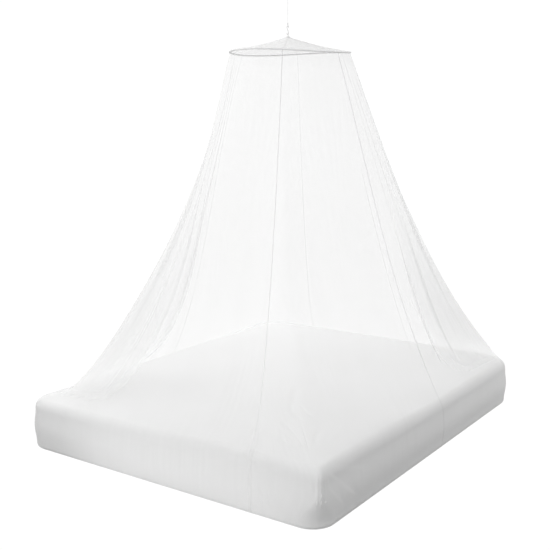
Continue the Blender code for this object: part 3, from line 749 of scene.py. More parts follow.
def woven_cloth_group():
    """Plain weave: over and under threads as a height, and a soft unevenness."""
    group, given, result = new_group(
        "Woven cloth",
        [("Cloth", "NodeSocketVector", None), ("Thread", "NodeSocketFloat", 0.0012)],
        [("Height", "NodeSocketFloat"), ("Uneven", "NodeSocketFloat")])
    links = group.links
    waves = []
    for direction in ((math.pi, 0.0, 0.0), (0.0, math.pi, 0.0)):
        phase = math_node(group, "DIVIDE", dotted(group, given.outputs["Cloth"], direction),
                          given.outputs["Thread"])
        waves.append(math_node(group, "SINE", phase))
    over = math_node(group, "MULTIPLY", waves[0], waves[1])
    ridges = math_node(group, "MAXIMUM", math_node(group, "ABSOLUTE", waves[0]),
                       math_node(group, "ABSOLUTE", waves[1]))
    height = math_node(group, "ADD", math_node(group, "MULTIPLY", over, 0.35), ridges)
    links.new(height, result.inputs["Height"])
    links.new(noise_node(group, given.outputs["Cloth"], 9.0, 4.0, 0.6), result.inputs["Uneven"])
    return group


def faint_tone_group():
    """Very slight darkening and yellowing in soft patches, as on any used white thing."""
    group, given, result = new_group(
        "Faint tone",
        [("Place", "NodeSocketVector", None), ("Colour", "NodeSocketColor", (0.8, 0.8, 0.8, 1.0)),
         ("Amount", "NodeSocketFloat", 0.05), ("Scale", "NodeSocketFloat", 3.0)],
        [("Colour", "NodeSocketColor"), ("Mask", "NodeSocketFloat")])
    links = group.links
    patches = group.nodes.new("ShaderNodeTexNoise")
    links.new(given.outputs["Place"], patches.inputs["Vector"])
    links.new(given.outputs["Scale"], patches.inputs["Scale"])
    patches.inputs["Detail"].default_value = 5.0
    mask = map_range(group, patches.outputs["Fac"], 0.35, 0.75, 0.0, 1.0)
    amount = math_node(group, "MULTIPLY", mask, given.outputs["Amount"])
    tint = group.nodes.new("ShaderNodeMix")
    tint.data_type = "RGBA"
    tint.blend_type = "MULTIPLY"
    links.new(amount, tint.inputs["Factor"])
    links.new(given.outputs["Colour"], tint.inputs[6])
    tint.inputs[7].default_value = (0.80, 0.80, 0.79, 1.0)
    links.new(tint.outputs[2], result.inputs["Colour"])
    links.new(mask, result.inputs["Mask"])
    return group


def place_group(tree, group, **values):
    """The group as a node in a material, with its own values by socket name."""
    node = tree.nodes.new("ShaderNodeGroup")
    node.node_tree = group
    for socket, value in values.items():
        socket = socket.replace("_", " ")
        if isinstance(value, bpy.types.NodeSocket):
            tree.links.new(value, node.inputs[socket])
        else:
            node.inputs[socket].default_value = value
    return node


def new_material(name, roughness, metallic=0.0):
    made = bpy.data.materials.new(name)
    made.use_nodes = True
    shader = made.node_tree.nodes["Principled BSDF"]
    shader.inputs["Roughness"].default_value = roughness
    shader.inputs["Metallic"].default_value = metallic
    return made, made.node_tree, shader


def cloth_place(tree):
    """The piece's own cloth map, in metres along its threads."""
    node = tree.nodes.new("ShaderNodeUVMap")
    node.uv_map = "cloth"
    return node.outputs["UV"]


def fullness(tree):
    """The gathers of the piece at each point, 0 where it has none."""
    node = tree.nodes.new("ShaderNodeAttribute")
    node.attribute_name = "fullness"
    return node.outputs["Fac"]


def object_place(tree):
    return tree.nodes.new("ShaderNodeTexCoord").outputs["Object"]


def add_bump(tree, shader, height, strength, distance):
    node = tree.nodes.new("ShaderNodeBump")
    node.inputs["Strength"].default_value = strength
    node.inputs["Distance"].default_value = distance
    tree.links.new(height, node.inputs["Height"])
    tree.links.new(node.outputs["Normal"], shader.inputs["Normal"])


# A netting: its white, how opaque its holes and threads are, how uneven it is in streaks,
# how much thinner it is at the hoop, fading down the skirt, how far its mesh is turned in
# degrees, and its opacity where it lies on the bed and at the hoop, as shares of the rest.
Netting = namedtuple("Netting", "name white hole thread streaks stretched turned on_bed at_hoop",
                     defaults=(0.0, 0.0, 1.0, 1.0))
NETTINGS = {
    "net": Netting("skirt_net", 0.90, 0.215, 0.24, 0.06, stretched=0.20, at_hoop=1.2),
    "net_across": Netting("skirt_net_across", 0.90, 0.215, 0.24, 0.06, stretched=0.20,
                          turned=30.0, at_hoop=1.2),
    "roof": Netting("roof_net", 0.88, 0.41, 0.66, 0.10),
    "roof_seam": Netting("roof_seam_net", 0.88, 0.30, 0.50, 0.10),
    "seam": Netting("seam_net", 0.84, 0.40, 0.68, 0.10, on_bed=0.12),
    "seam_thin": Netting("thin_seam_net", 0.90, 0.10, 0.24, 0.10, on_bed=0.3),
    "seam_full": Netting("full_seam_net", 0.80, 0.62, 0.92, 0.08, on_bed=0.12),
}


def net_material(netting, groups):
    """Netting of fine threads: see-through holes, and threads lit from both sides."""
    made, tree, shader = new_material(netting.name, 0.85)
    place = cloth_place(tree)
    net = place_group(tree, groups["net"], Cloth=place, Cell=NET_CELL, Hole=netting.hole,
                      Thread=netting.thread, Streaks=netting.streaks,
                      Stretched=netting.stretched, Turned=math.radians(netting.turned),
                      On_bed=netting.on_bed, At_hoop=netting.at_hoop, Fullness=fullness(tree))
    tone = place_group(tree, groups["tone"], Place=place,
                       Colour=(netting.white, netting.white, netting.white, 1.0),
                       Amount=0.10, Scale=2.2)
    tree.links.new(tone.outputs["Colour"], shader.inputs["Base Color"])
    rough = map_range(tree, net.outputs["Streak"], 0.3, 0.7, 0.80, 0.92)
    tree.links.new(rough, shader.inputs["Roughness"])
    shader.inputs["Specular IOR Level"].default_value = 0.2
    add_bump(tree, shader, net.outputs["Threads"], 0.10, 0.0002)
    through = tree.nodes.new("ShaderNodeBsdfTranslucent")
    tree.links.new(tone.outputs["Colour"], through.inputs["Color"])
    threads = mixed_shaders(tree, NET_LETS_THROUGH, shader.outputs[0], through.outputs[0])
    clear = tree.nodes.new("ShaderNodeBsdfTransparent")
    whole = mixed_shaders(tree, net.outputs["Alpha"], clear.outputs[0], threads)
    tree.links.new(whole, tree.nodes["Material Output"].inputs["Surface"])
    return made


def mixed_shaders(tree, share, first, second):
    node = tree.nodes.new("ShaderNodeMixShader")
    if isinstance(share, (int, float)):
        node.inputs[0].default_value = share
    else:
        tree.links.new(share, node.inputs[0])
    tree.links.new(first, node.inputs[1])
    tree.links.new(second, node.inputs[2])
    return node.outputs[0]


def woven_material(name, groups, colour, thread, depth):
    """A woven white cloth or tape."""
    made, tree, shader = new_material(name, 0.9)
    place = cloth_place(tree)
    weave = place_group(tree, groups["weave"], Cloth=place, Thread=thread)
    tone = place_group(tree, groups["tone"], Place=object_place(tree), Colour=(*colour, 1.0),
                       Amount=0.12, Scale=2.5)
    tree.links.new(tone.outputs["Colour"], shader.inputs["Base Color"])
    rough = map_range(tree, weave.outputs["Uneven"], 0.3, 0.7, 0.82, 0.97)
    tree.links.new(rough, shader.inputs["Roughness"])
    shader.inputs["Specular IOR Level"].default_value = 0.15
    add_bump(tree, shader, weave.outputs["Height"], depth, 0.0004)
    return made


def hard_material(name, groups, colour, roughness, grain, coat=0.0):
    """Smooth moulded plastic or coated wire, with a faint orange peel."""
    made, tree, shader = new_material(name, roughness)
    place = object_place(tree)
    tone = place_group(tree, groups["tone"], Place=place, Colour=(*colour, 1.0),
                       Amount=0.18, Scale=40.0)
    tree.links.new(tone.outputs["Colour"], shader.inputs["Base Color"])
    rough = map_range(tree, tone.outputs["Mask"], 0.0, 1.0, roughness, roughness + 0.15)
    tree.links.new(rough, shader.inputs["Roughness"])
    shader.inputs["Coat Weight"].default_value = coat
    add_bump(tree, shader, noise_node(tree, place, grain, 2.0), 0.15, 0.0003)
    return made


def cord_material(name, groups, colour):
    """Twisted cord: the strands' slant comes from the mesh, fine fibres from here."""
    made, tree, shader = new_material(name, 0.85)
    place = cloth_place(tree)
    fibres = noise_node(tree, scaled(tree, place, (900.0, 260.0, 1.0)), 1.0, 3.0)
    tone = place_group(tree, groups["tone"], Place=object_place(tree), Colour=(*colour, 1.0),
                       Amount=0.2, Scale=60.0)
    tree.links.new(tone.outputs["Colour"], shader.inputs["Base Color"])
    rough = map_range(tree, fibres, 0.3, 0.7, 0.75, 0.95)
    tree.links.new(rough, shader.inputs["Roughness"])
    shader.inputs["Sheen Weight"].default_value = 0.3
    add_bump(tree, shader, fibres, 0.4, 0.0003)
    return made


# -------------------------------------------------------------------- mesh tools
def mesh_object(name, verts, faces, uvs, material, smooth=True):
    """A mesh from points, faces and a cloth coordinate for each point."""
    mesh = bpy.data.meshes.new(name)
    mesh.from_pydata([tuple(v) for v in verts], [], faces)
    mesh.materials.append(material)
    if uvs:
        layer = mesh.uv_layers.new(name="cloth")
        for loop in mesh.loops:
            layer.data[loop.index].uv = uvs[loop.vertex_index]
    if smooth:
        mesh.shade_smooth()
    mesh.validate()
    made = bpy.data.objects.new(name, mesh)
    bpy.context.scene.collection.objects.link(made)
    return made


def grid_faces(rows, columns, closed=False, flip=False):
    faces = []
    for r in range(rows - 1):
        for c in range(columns if closed else columns - 1):
            d = (c + 1) % columns
            quad = (r * columns + c, r * columns + d, (r + 1) * columns + d, (r + 1) * columns + c)
            faces.append(quad[::-1] if flip else quad)
    return faces


def capped_faces(rings, sides):
    """The faces of a closed stack of rings, with a face over each end."""
    return grid_faces(rings, sides, closed=True) + [
        tuple(range(sides))[::-1], tuple(range((rings - 1) * sides, rings * sides))]


def measured_cloth(grid):
    """Cloth coordinates of a grid of points: metres across from the middle, and down."""
    middle = len(grid[0]) // 2
    down, uvs = 0.0, []
    for n, row in enumerate(grid):
        if n:
            down += (row[middle] - grid[n - 1][middle]).length
        across, place = 0.0, [0.0]
        for a, b in zip(row, row[1:]):
            across += (b - a).length
            place.append(across)
        uvs += [(x - place[middle], -down) for x in place]
    return uvs


def sheet_object(name, grid, material, flip=False):
    verts = [p for row in grid for p in row]
    faces = grid_faces(len(grid), len(grid[0]), flip=flip)
    return mesh_object(name, verts, faces, measured_cloth(grid), material)


def tube_object(name, path, radius, material, sides=16, round_ends=True):
    """A closed tube along points, with domed ends and its own cloth coordinates."""
    tangents = []
    for n in range(len(path)):
        before, after = path[max(n - 1, 0)], path[min(n + 1, len(path) - 1)]
        tangents.append((after - before).normalized())
    side = tangents[0].orthogonal().normalized()
    rings, along = [], 0.0
    for n, (point, tangent) in enumerate(zip(path, tangents)):
        if n:
            along += (point - path[n - 1]).length
        side = (side - tangent * side.dot(tangent)).normalized()
        rings.append((point, side, tangent.cross(side), along, 1.0))
    if round_ends:
        caps = [(math.sin(a), 1.0 - math.cos(a)) for a in (0.35, 0.75, 1.15)]
        first, last = rings[0], rings[-1]
        head = [(first[0] - tangents[0] * radius * s, first[1], first[2],
                 first[3] - radius * s, 1.0 - k) for s, k in caps]
        tail = [(last[0] + tangents[-1] * radius * s, last[1], last[2],
                 last[3] + radius * s, 1.0 - k) for s, k in caps]
        rings = head[::-1] + rings + tail
    verts, uvs = [], []
    for point, right, up, place, share in rings:
        for k in range(sides):
            angle = 2.0 * math.pi * k / sides
            size = radius(place, angle) if callable(radius) else radius
            verts.append(point + (right * math.cos(angle) + up * math.sin(angle)) * size * share)
            uvs.append((k / sides * 2.0 * math.pi * 0.001, place))
    return outward(mesh_object(name, verts, capped_faces(len(rings), sides), uvs, material))


def turned_object(name, profile, foot, material, steps=48):
    """A solid turned about the cord's line from (radius, height) points."""
    verts, uvs = [], []
    for radius, height in profile:
        for k in range(steps):
            angle = 2.0 * math.pi * k / steps
            verts.append(Vector((PEAK_X + radius * math.cos(angle),
                                 PEAK_Y + radius * math.sin(angle), foot + height)))
            uvs.append((angle * 0.01, height))
    return outward(mesh_object(name, verts, capped_faces(len(profile), steps), uvs, material))


def outward(obj):
    """Turns a closed mesh's faces outwards."""
    bm = bmesh.new()
    bm.from_mesh(obj.data)
    bmesh.ops.recalc_face_normals(bm, faces=bm.faces)
    bm.to_mesh(obj.data)
    bm.free()
    return obj


def torus_object(name, centre, radius, tube, material, sides=14, steps=40):
    verts, uvs = [], []
    for n in range(steps):
        a = 2.0 * math.pi * n / steps
        out = Vector((0.0, math.cos(a), math.sin(a)))
        for k in range(sides):
            b = 2.0 * math.pi * k / sides
            verts.append(Vector((PEAK_X, PEAK_Y, centre)) + out * (radius + tube * math.cos(b))
                         + Vector((tube * math.sin(b), 0.0, 0.0)))
            uvs.append((b * 0.001, a * radius))
    faces = []
    for n in range(steps):
        m = (n + 1) % steps
        for k in range(sides):
            j = (k + 1) % sides
            faces.append((n * sides + k, n * sides + j, m * sides + j, m * sides + k))
    return outward(mesh_object(name, verts, faces, uvs, material))


def join(name, *parts):
    """One object from several."""
    bm = bmesh.new()
    materials = []
    for part in parts:
        offset = len(materials)
        start = len(bm.faces)
        bm.from_mesh(part.data)
        bm.faces.ensure_lookup_table()
        for face in bm.faces[start:]:
            face.material_index += offset
        materials += list(part.data.materials)
        bpy.data.objects.remove(part, do_unlink=True)
    mesh = bpy.data.meshes.new(name)
    bm.to_mesh(mesh)
    bm.free()
    for material in materials:
        mesh.materials.append(material)
    made = bpy.data.objects.new(name, mesh)
    bpy.context.scene.collection.objects.link(made)
    return made


# ------------------------------------------------------------ stitches by geometry nodes
THREAD_RADIUS = 0.00045


def stitch_tree(material):
    """Short rounded stitches at an even pitch along curves."""
    tree = bpy.data.node_groups.new("Row of stitches", "GeometryNodeTree")
    tree.is_modifier = True
    face = tree.interface
    face.new_socket("Geometry", in_out="INPUT", socket_type="NodeSocketGeometry")
    for name, value in (("Pitch", 0.0045), ("Length", 0.0032), ("Thread radius", 0.00035)):
        made = face.new_socket(name, in_out="INPUT", socket_type="NodeSocketFloat")
        made.default_value = value
    face.new_socket("Geometry", in_out="OUTPUT", socket_type="NodeSocketGeometry")
    nodes, links = tree.nodes, tree.links
    given, result = nodes.new("NodeGroupInput"), nodes.new("NodeGroupOutput")
    points = nodes.new("GeometryNodeCurveToPoints")
    points.mode = "LENGTH"
    links.new(given.outputs["Geometry"], points.inputs["Curve"])
    links.new(given.outputs["Pitch"], points.inputs["Length"])
    grain = nodes.new("GeometryNodeMeshIcoSphere")
    grain.inputs["Subdivisions"].default_value = 1
    grain.inputs["Radius"].default_value = 1.0
    half = nodes.new("ShaderNodeMath")
    half.operation = "MULTIPLY"
    half.inputs[1].default_value = 0.5
    links.new(given.outputs["Length"], half.inputs[0])
    size = nodes.new("ShaderNodeCombineXYZ")
    links.new(given.outputs["Thread radius"], size.inputs["X"])
    links.new(given.outputs["Thread radius"], size.inputs["Y"])
    links.new(half.outputs[0], size.inputs["Z"])
    sewn = nodes.new("GeometryNodeInstanceOnPoints")
    links.new(points.outputs["Points"], sewn.inputs["Points"])
    links.new(grain.outputs["Mesh"], sewn.inputs["Instance"])
    links.new(points.outputs["Rotation"], sewn.inputs["Rotation"])
    links.new(size.outputs["Vector"], sewn.inputs["Scale"])
    real = nodes.new("GeometryNodeRealizeInstances")
    links.new(sewn.outputs["Instances"], real.inputs["Geometry"])
    dressed = nodes.new("GeometryNodeSetMaterial")
    dressed.inputs["Material"].default_value = material
    links.new(real.outputs["Geometry"], dressed.inputs["Geometry"])
    links.new(dressed.outputs["Geometry"], result.inputs["Geometry"])
    return tree


def sewn_rows(name, tree, paths, material, pitch, length, radius):
    """The stitches along several paths, as one plain mesh."""
    curve = bpy.data.curves.new(name + "_paths", "CURVE")
    curve.dimensions = "3D"
    for path in paths:
        spline = curve.splines.new("POLY")
        spline.points.add(len(path) - 1)
        for target, point in zip(spline.points, path):
            target.co = (*point, 1.0)
    holder = bpy.data.objects.new(name + "_paths", curve)
    bpy.context.scene.collection.objects.link(holder)
    rows = holder.modifiers.new("Stitches", "NODES")
    rows.node_group = tree
    sockets = {item.name: item.identifier for item in tree.interface.items_tree
               if item.in_out == "INPUT"}
    rows[sockets["Pitch"]] = pitch
    rows[sockets["Length"]] = length
    rows[sockets["Thread radius"]] = radius
    view = bpy.context.evaluated_depsgraph_get()
    view.update()
    mesh = bpy.data.meshes.new_from_object(holder.evaluated_get(view))
    holder.modifiers.remove(rows)
    bpy.data.objects.remove(holder, do_unlink=True)
    mesh.name = name
    mesh.materials.clear()
    mesh.materials.append(material)
    mesh.shade_smooth()
    made = bpy.data.objects.new(name, mesh)
    bpy.context.scene.collection.objects.link(made)
    return made


# ------------------------------------------------------------------- net and seams
def build_gore(name, material):
    gore = Gore(name)
    first, last = gore.lines[0].at_bed, gore.lines[-1].at_bed
    steps = round((last - first) / COLUMN_STEP)
    columns = [Column(gore, mix(first, last, n / steps)) for n in range(steps + 1)]
    grid = [[column.point(row) for column in columns] for row in fine_rows()]
    piece = sheet_object("net_" + name, grid, material, flip=True)
    full = piece.data.attributes.new("fullness", "FLOAT", "POINT")
    full.data.foreach_set("value", [column.fullness(row) for row in fine_rows()
                                    for column in columns])
    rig.ride(piece, "root")
    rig.replaces(piece, name)
    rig.slot(piece, "net")
    return piece


CUT_ACROSS = ("gore_head", "gore_head_left", "gore_left")   # of net turned on the roll
SEAM_KIND = {"gore_right": "seam_full", "gore_head": "seam_thin",
             "gore_head_left": "seam_thin", "gore_left": "seam_thin"}
SEAM_WIDE = {"gore_foot_right": 0.020}      # the front seam's allowance lies flat on the bed
SEAM_NARROW = 0.0034
SEAM_FLAT = 0.009
SEAM_ACROSS = (-0.5, -0.25, 0.0, 0.25, 0.5)     # shares of a seam's width
SEAM_WIDENS_AT, SEAM_WIDENS_OVER = 0.74, 0.2    # shares of the fall
SEAM_PROUD = 0.0006         # how far a seam and its stitches stand out from the net
STITCH_PROUD = 0.001
STITCH_SIDE = 0.30          # the stitches' place in a seam's width


def seam_strip(name, material):
    """The doubled edge along a gore's first seam, and the line its stitches follow."""
    wide = SEAM_WIDE.get(name, SEAM_FLAT)
    grid, stitches = [], []
    rows = [row for row in fine_rows() if row <= ON_TUCK - 1]
    for row, point, normal, around in Gore(name).seam(rows):
        width = mix(SEAM_NARROW, wide,
                    ease((row / DRAPE_ROWS - SEAM_WIDENS_AT) / SEAM_WIDENS_OVER))
        grid.append([point + around * width * share + normal * SEAM_PROUD
                     for share in SEAM_ACROSS])
        stitches.append(point + normal * STITCH_PROUD + around * width * STITCH_SIDE)
    piece = sheet_object("seam_" + name[5:], grid, material, flip=True)
    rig.ride(piece, "root")
    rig.slot(piece, "tape")
    return piece, stitches


ROOF_RINGS, ROOF_COLUMNS = 32, 40
RING_CROWDING = 0.9         # below 1 the rings close up towards the peak
ROOF_PUCKERS = 6
ROOF_ALLOWANCE = 0.012      # a roof panel's seam allowance at its wide end
ROOF_SEAM_WIDE = 0.0055


def roof_share(radius):
    return max(1.0 - radius / HOOP_RADIUS, 0.0)


def roof_point(azimuth, radius, lift=0.0):
    rim = hoop_height(azimuth) + SLEEVE_FLAT + SEAT
    share = roof_share(radius)
    along = math.radians(azimuth)
    return Vector((radius * math.cos(along) + PEAK_X * share,
                   radius * math.sin(along) + PEAK_Y * share,
                   rim + (APEX_HEIGHT - rim) * share ** ROOF_SAG + lift))


def roof_ripple(azimuth, first, last, radius, seed):
    """Soft radial puckers of a roof panel, none at its seams, sleeve and tip."""
    draw = random.Random(seed)
    across = (azimuth - first) / (last - first)
    total = 0.0
    for _ in range(ROOF_PUCKERS):
        middle, width = draw.uniform(0.1, 0.9), draw.uniform(0.03, 0.08)
        total += draw.uniform(-0.0012, 0.0022) * bump((across - middle) / width)
    share = roof_share(radius)
    return total * ease(share / 0.2) * ease((1.0 - share) / 0.3) * ease(across / 0.08) \
        * ease((1.0 - across) / 0.08)


def build_roof(name, material):
    lines = GORES[name]
    first, last = lines[0].at_hoop, lines[-1].at_hoop
    seed = sorted(GORES).index(name) + 90
    grid = []
    azimuths = [mix(first, last, n / ROOF_COLUMNS) for n in range(ROOF_COLUMNS + 1)]
    for ring in range(ROOF_RINGS + 1):
        radius = mix(HOOP_RADIUS + SEAT, APEX_RADIUS, (ring / ROOF_RINGS) ** RING_CROWDING)
        grid.append([roof_point(azimuth, radius,
                                roof_ripple(azimuth, first, last, radius, seed)
                                + NET_THICKNESS / 2.0)
                     for azimuth in azimuths])
    node = name.replace("gore", "roof")
    piece = sheet_object("net_" + node, grid, material)
    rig.ride(piece, "root")
    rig.replaces(piece, node)
    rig.slot(piece, "net")
    return piece


def roof_seam(name, material):
    azimuth = GORES[name][0].at_hoop
    along = math.radians(azimuth)
    around = Vector((-math.sin(along), math.cos(along), 0.0))
    grid, stitches = [], []
    for ring in range(ROOF_RINGS + 1):
        radius = mix(HOOP_RADIUS - 0.001, APEX_RADIUS + 0.003, ring / ROOF_RINGS)
        width = min(ROOF_SEAM_WIDE, radius * 0.7)
        middle = roof_point(azimuth, radius, NET_THICKNESS + 0.0004)
        grid.append([middle + around * width * (n / 4.0 - 0.5)
                     + Vector((0.0, 0.0, 0.0005 * (1.0 - (n / 2.0 - 1.0) ** 2)))
                     for n in range(5)])
        stitches.append(middle + Vector((0.0, 0.0, 0.0007)))
    piece = sheet_object("roof_seam_" + name[5:], grid, material)
    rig.ride(piece, "root")
    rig.slot(piece, "tape")
    return piece, stitches


# --------------------------------------------------------------- hoop and its sleeve
def ring_object(name, section, material, steps, closed_section=True):
    """A ring round the axis; section(azimuth) gives (out, up) points about the rod."""
    verts, uvs = [], []
    for n in range(steps):
        azimuth = 360.0 * n / steps
        along = math.radians(azimuth)
        points = section(azimuth)
        for k, (out, up) in enumerate(points):
            radius = HOOP_RADIUS + out
            verts.append(Vector((radius * math.cos(along), radius * math.sin(along),
                                 hoop_height(azimuth) + up)))
            uvs.append((k / len(points) * 0.03, along * HOOP_RADIUS))
    count = len(points)
    faces = []
    for n in range(steps):
        m = (n + 1) % steps
        for k in range(count if closed_section else count - 1):
            j = (k + 1) % count
            faces.append((n * count + k, m * count + k, m * count + j, n * count + j))
    return mesh_object(name, verts, faces, uvs, material)


def build_hoop(material):
    sides = 14
    section = [(HOOP_ROD * math.cos(2.0 * math.pi * k / sides),
                HOOP_ROD * math.sin(2.0 * math.pi * k / sides)) for k in range(sides)]
    piece = outward(ring_object("hoop_rod", lambda azimuth: section, material, 180))
    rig.ride(piece, "root")
    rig.replaces(piece, "hoop")
    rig.slot(piece, "hoop")


SLEEVE_SLIT = 12.0          # half of the sleeve's open angle, on its inner side


def build_sleeve(material):
    """Tape round the hoop, puckered by its stitches; returns the lines that they follow."""
    sides = 18

    def section(azimuth):
        pucker = 0.00022 * math.sin(math.radians(azimuth) * 96.0) \
            + 0.0002 * noise.noise(Vector((azimuth * 0.25, 0.0, 4.0)))
        points = []
        for outer in (True, False):
            angles = [mix(180.0 + SLEEVE_SLIT, 540.0 - SLEEVE_SLIT, k / sides)
                      for k in range(sides + 1)]
            size = SLEEVE_OUTER - 0.0001 + pucker if outer else HOOP_ROD + SEAT + pucker
            turned = [(size * math.cos(math.radians(a)), size * math.sin(math.radians(a)))
                      for a in angles]
            points += turned if outer else turned[::-1]
        return points

    piece = outward(ring_object("hoop_tape", section, material, 480))
    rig.ride(piece, "root")
    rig.replaces(piece, "hoop_sleeve")
    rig.slot(piece, "tape")
    rows = []
    for up in (-0.72, 0.72):
        rows.append([Vector(((HOOP_RADIUS + SLEEVE_OUTER * math.sqrt(1.0 - up * up)) * math.cos(a),
                             (HOOP_RADIUS + SLEEVE_OUTER * math.sqrt(1.0 - up * up)) * math.sin(a),
                             hoop_height(math.degrees(a)) + SLEEVE_OUTER * up))
                     for a in (math.radians(1.5 * n) for n in range(241))])
    return rows


# ----------------------------------------------------------------- peak, hook and cord
def bend(height, first, last, steps=36):
    return [Vector((PEAK_X + HOOK_BEND * math.cos(a), PEAK_Y, height + HOOK_BEND * math.sin(a)))
            for a in (math.radians(mix(first, last, n / steps)) for n in range(steps + 1))]


def build_hanging(materials):
    """Peak loop, hook, cord with its eyes, and the ceiling hook."""
    over = HOOK_BEND - HOOK_WIRE - SEAT
    eye = HOOK_BEND - CORD_RADIUS / 2.0
    rims = [hoop_height(a) + SLEEVE_FLAT + SEAT for a in range(0, 360, 5)]
    share = roof_share(APEX_RADIUS)
    tips = max(rim + (APEX_HEIGHT - rim) * share ** ROOF_SAG for rim in rims)
    foot = tips + NET_THICKNESS + SEAT

    tab = turned_object("peak_tab", [
        (0.0092, 0.0), (0.0103, 0.0003), (TAB_FOOT, 0.0009), (0.0101, 0.0019),
        (0.0083, 0.0031), (0.0061, 0.0043), (0.0047, 0.0053), (TAB_NECK, TAB_HEIGHT),
        (0.0022, TAB_HEIGHT + 0.0004)], foot, materials["tape"])
    centre = foot + TAB_HEIGHT + HOOK_BEND - HOOK_WIRE / 2.0
    loop = torus_object("peak_ring", centre, HOOK_BEND, HOOK_WIRE, materials["tape"])
    loop = join("peak_tab_and_loop", tab, loop)
    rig.ride(loop, "root")
    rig.replaces(loop, "peak_loop")
    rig.slot(loop, "tape")

    low = centre + HOOK_BEND - HOOK_WIRE + over
    high = low + HOOK_SPREAD
    hook = tube_object("wire_hook", bend(low, 160.0, 370.0) + bend(high, 190.0, -20.0),
                       HOOK_WIRE, materials["hook"])
    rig.ride(hook, "root")
    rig.replaces(hook, "s_hook")
    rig.slot(hook, "hook")

    eye_low = high + over - CORD_RADIUS + eye
    lower = build_eye("cord_knot_low", eye_low + eye, eye_low, eye, materials["cord"],
                      "cord_eye_low")
    start = eye_low + eye + KNOT_HEIGHT + SEAT
    eye_high = CORD_TOP + KNOT_HEIGHT + eye
    upper = build_eye("cord_knot_high", CORD_TOP, eye_high, eye, materials["cord"],
                      "cord_eye_high")
    build_cord(start, CORD_TOP - SEAT, materials["cord"], [lower, upper])

    middle = eye_high + eye - CORD_RADIUS - HOOK_WIRE - SEAT + HOOK_BEND
    wire = bend(middle, 150.0, 390.0)
    wire += [Vector((PEAK_X, PEAK_Y, middle + SHANK_STRAIGHT)),
             Vector((PEAK_X, PEAK_Y, middle + SHANK - 0.001))]
    shank = tube_object("ceiling_wire", smooth_path(wire), HOOK_WIRE, materials["hook"])
    plate = turned_object("ceiling_plate", [
        (0.0030, 0.0), (PLATE_RADIUS - 0.0050, 0.0), (PLATE_RADIUS - 0.0024, 0.0006),
        (PLATE_RADIUS - 0.0006, 0.0018), (PLATE_RADIUS, 0.0028), (PLATE_RADIUS, PLATE_THICKNESS)],
        middle + SHANK - PLATE_THICKNESS / 2.0, materials["hook"])
    holder = join("ceiling_plate_and_hook", shank, plate)
    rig.ride(holder, "root")
    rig.replaces(holder, "ceiling_hook")
    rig.slot(holder, "hook")


def smooth_path(points, rounds=2):
    """Corners cut twice, the ends kept."""
    for _ in range(rounds):
        cut = [points[0]]
        for a, b in zip(points, points[1:]):
            cut += [a.lerp(b, 0.25), a.lerp(b, 0.75)]
        points = cut + [points[-1]]
    return points


CORD_STRANDS = 3
CORD_LAY = 0.009            # length of one turn of the strands
STRAND_DEPTH = 0.07         # share of the cord's radius


def build_eye(name, foot, centre, radius, material, node):
    """A knot of the cord with its eye, wound in ridges."""
    verts, uvs = [], []
    rings, sides = 22, 24
    for ring in range(rings + 1):
        share = ring / rings
        swell = KNOT_NECK + (KNOT_RADIUS - KNOT_NECK) * math.sin(math.pi * share) ** 0.6
        for k in range(sides):
            angle = 2.0 * math.pi * k / sides
            wound = 1.0 - 0.10 * (0.5 + 0.5 * math.cos(6.0 * math.pi * share * 1.5 - 2.0 * angle))
            size = swell * wound
            verts.append(Vector((PEAK_X + size * math.cos(angle), PEAK_Y + size * math.sin(angle),
                                 foot + KNOT_HEIGHT * share)))
            uvs.append((angle * 0.002, KNOT_HEIGHT * share))
    knot = outward(mesh_object(name + "_knot", verts, capped_faces(rings + 1, sides), uvs,
                               material))
    ring = torus_object(name + "_ring", centre, radius, CORD_RADIUS, material)
    piece = join(name, knot, ring)
    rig.ride(piece, "root")
    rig.replaces(piece, node)
    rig.slot(piece, "cord")
    return piece


def build_cord(low, high, material, ends):
    """The taut twisted cord between its two knots."""
    steps = 160
    path = [Vector((PEAK_X, PEAK_Y, mix(low, high, n / steps))) for n in range(steps + 1)]

    def twisted(place, angle):
        wave = math.cos(CORD_STRANDS * angle - place * 2.0 * math.pi / CORD_LAY)
        return CORD_RADIUS * (1.0 - STRAND_DEPTH + STRAND_DEPTH * wave)

    piece = tube_object("cord_line", path, twisted, material, sides=18, round_ends=False)
    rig.ride(piece, "root")
    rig.replaces(piece, "cord")
    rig.slot(piece, "cord")
    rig.cord(piece, exit=path[0], length=high - low, diameter=2.0 * CORD_RADIUS, far_end="knot",
            stiffness="limp", lay="taut", path=path[::8], with_pieces=ends)


# ---------------------------------------------------------------------- the mattress
SIDE_LEVELS = 24
TOP_LEVELS = 32
COVER_CLEAR = 0.0014        # cover to net


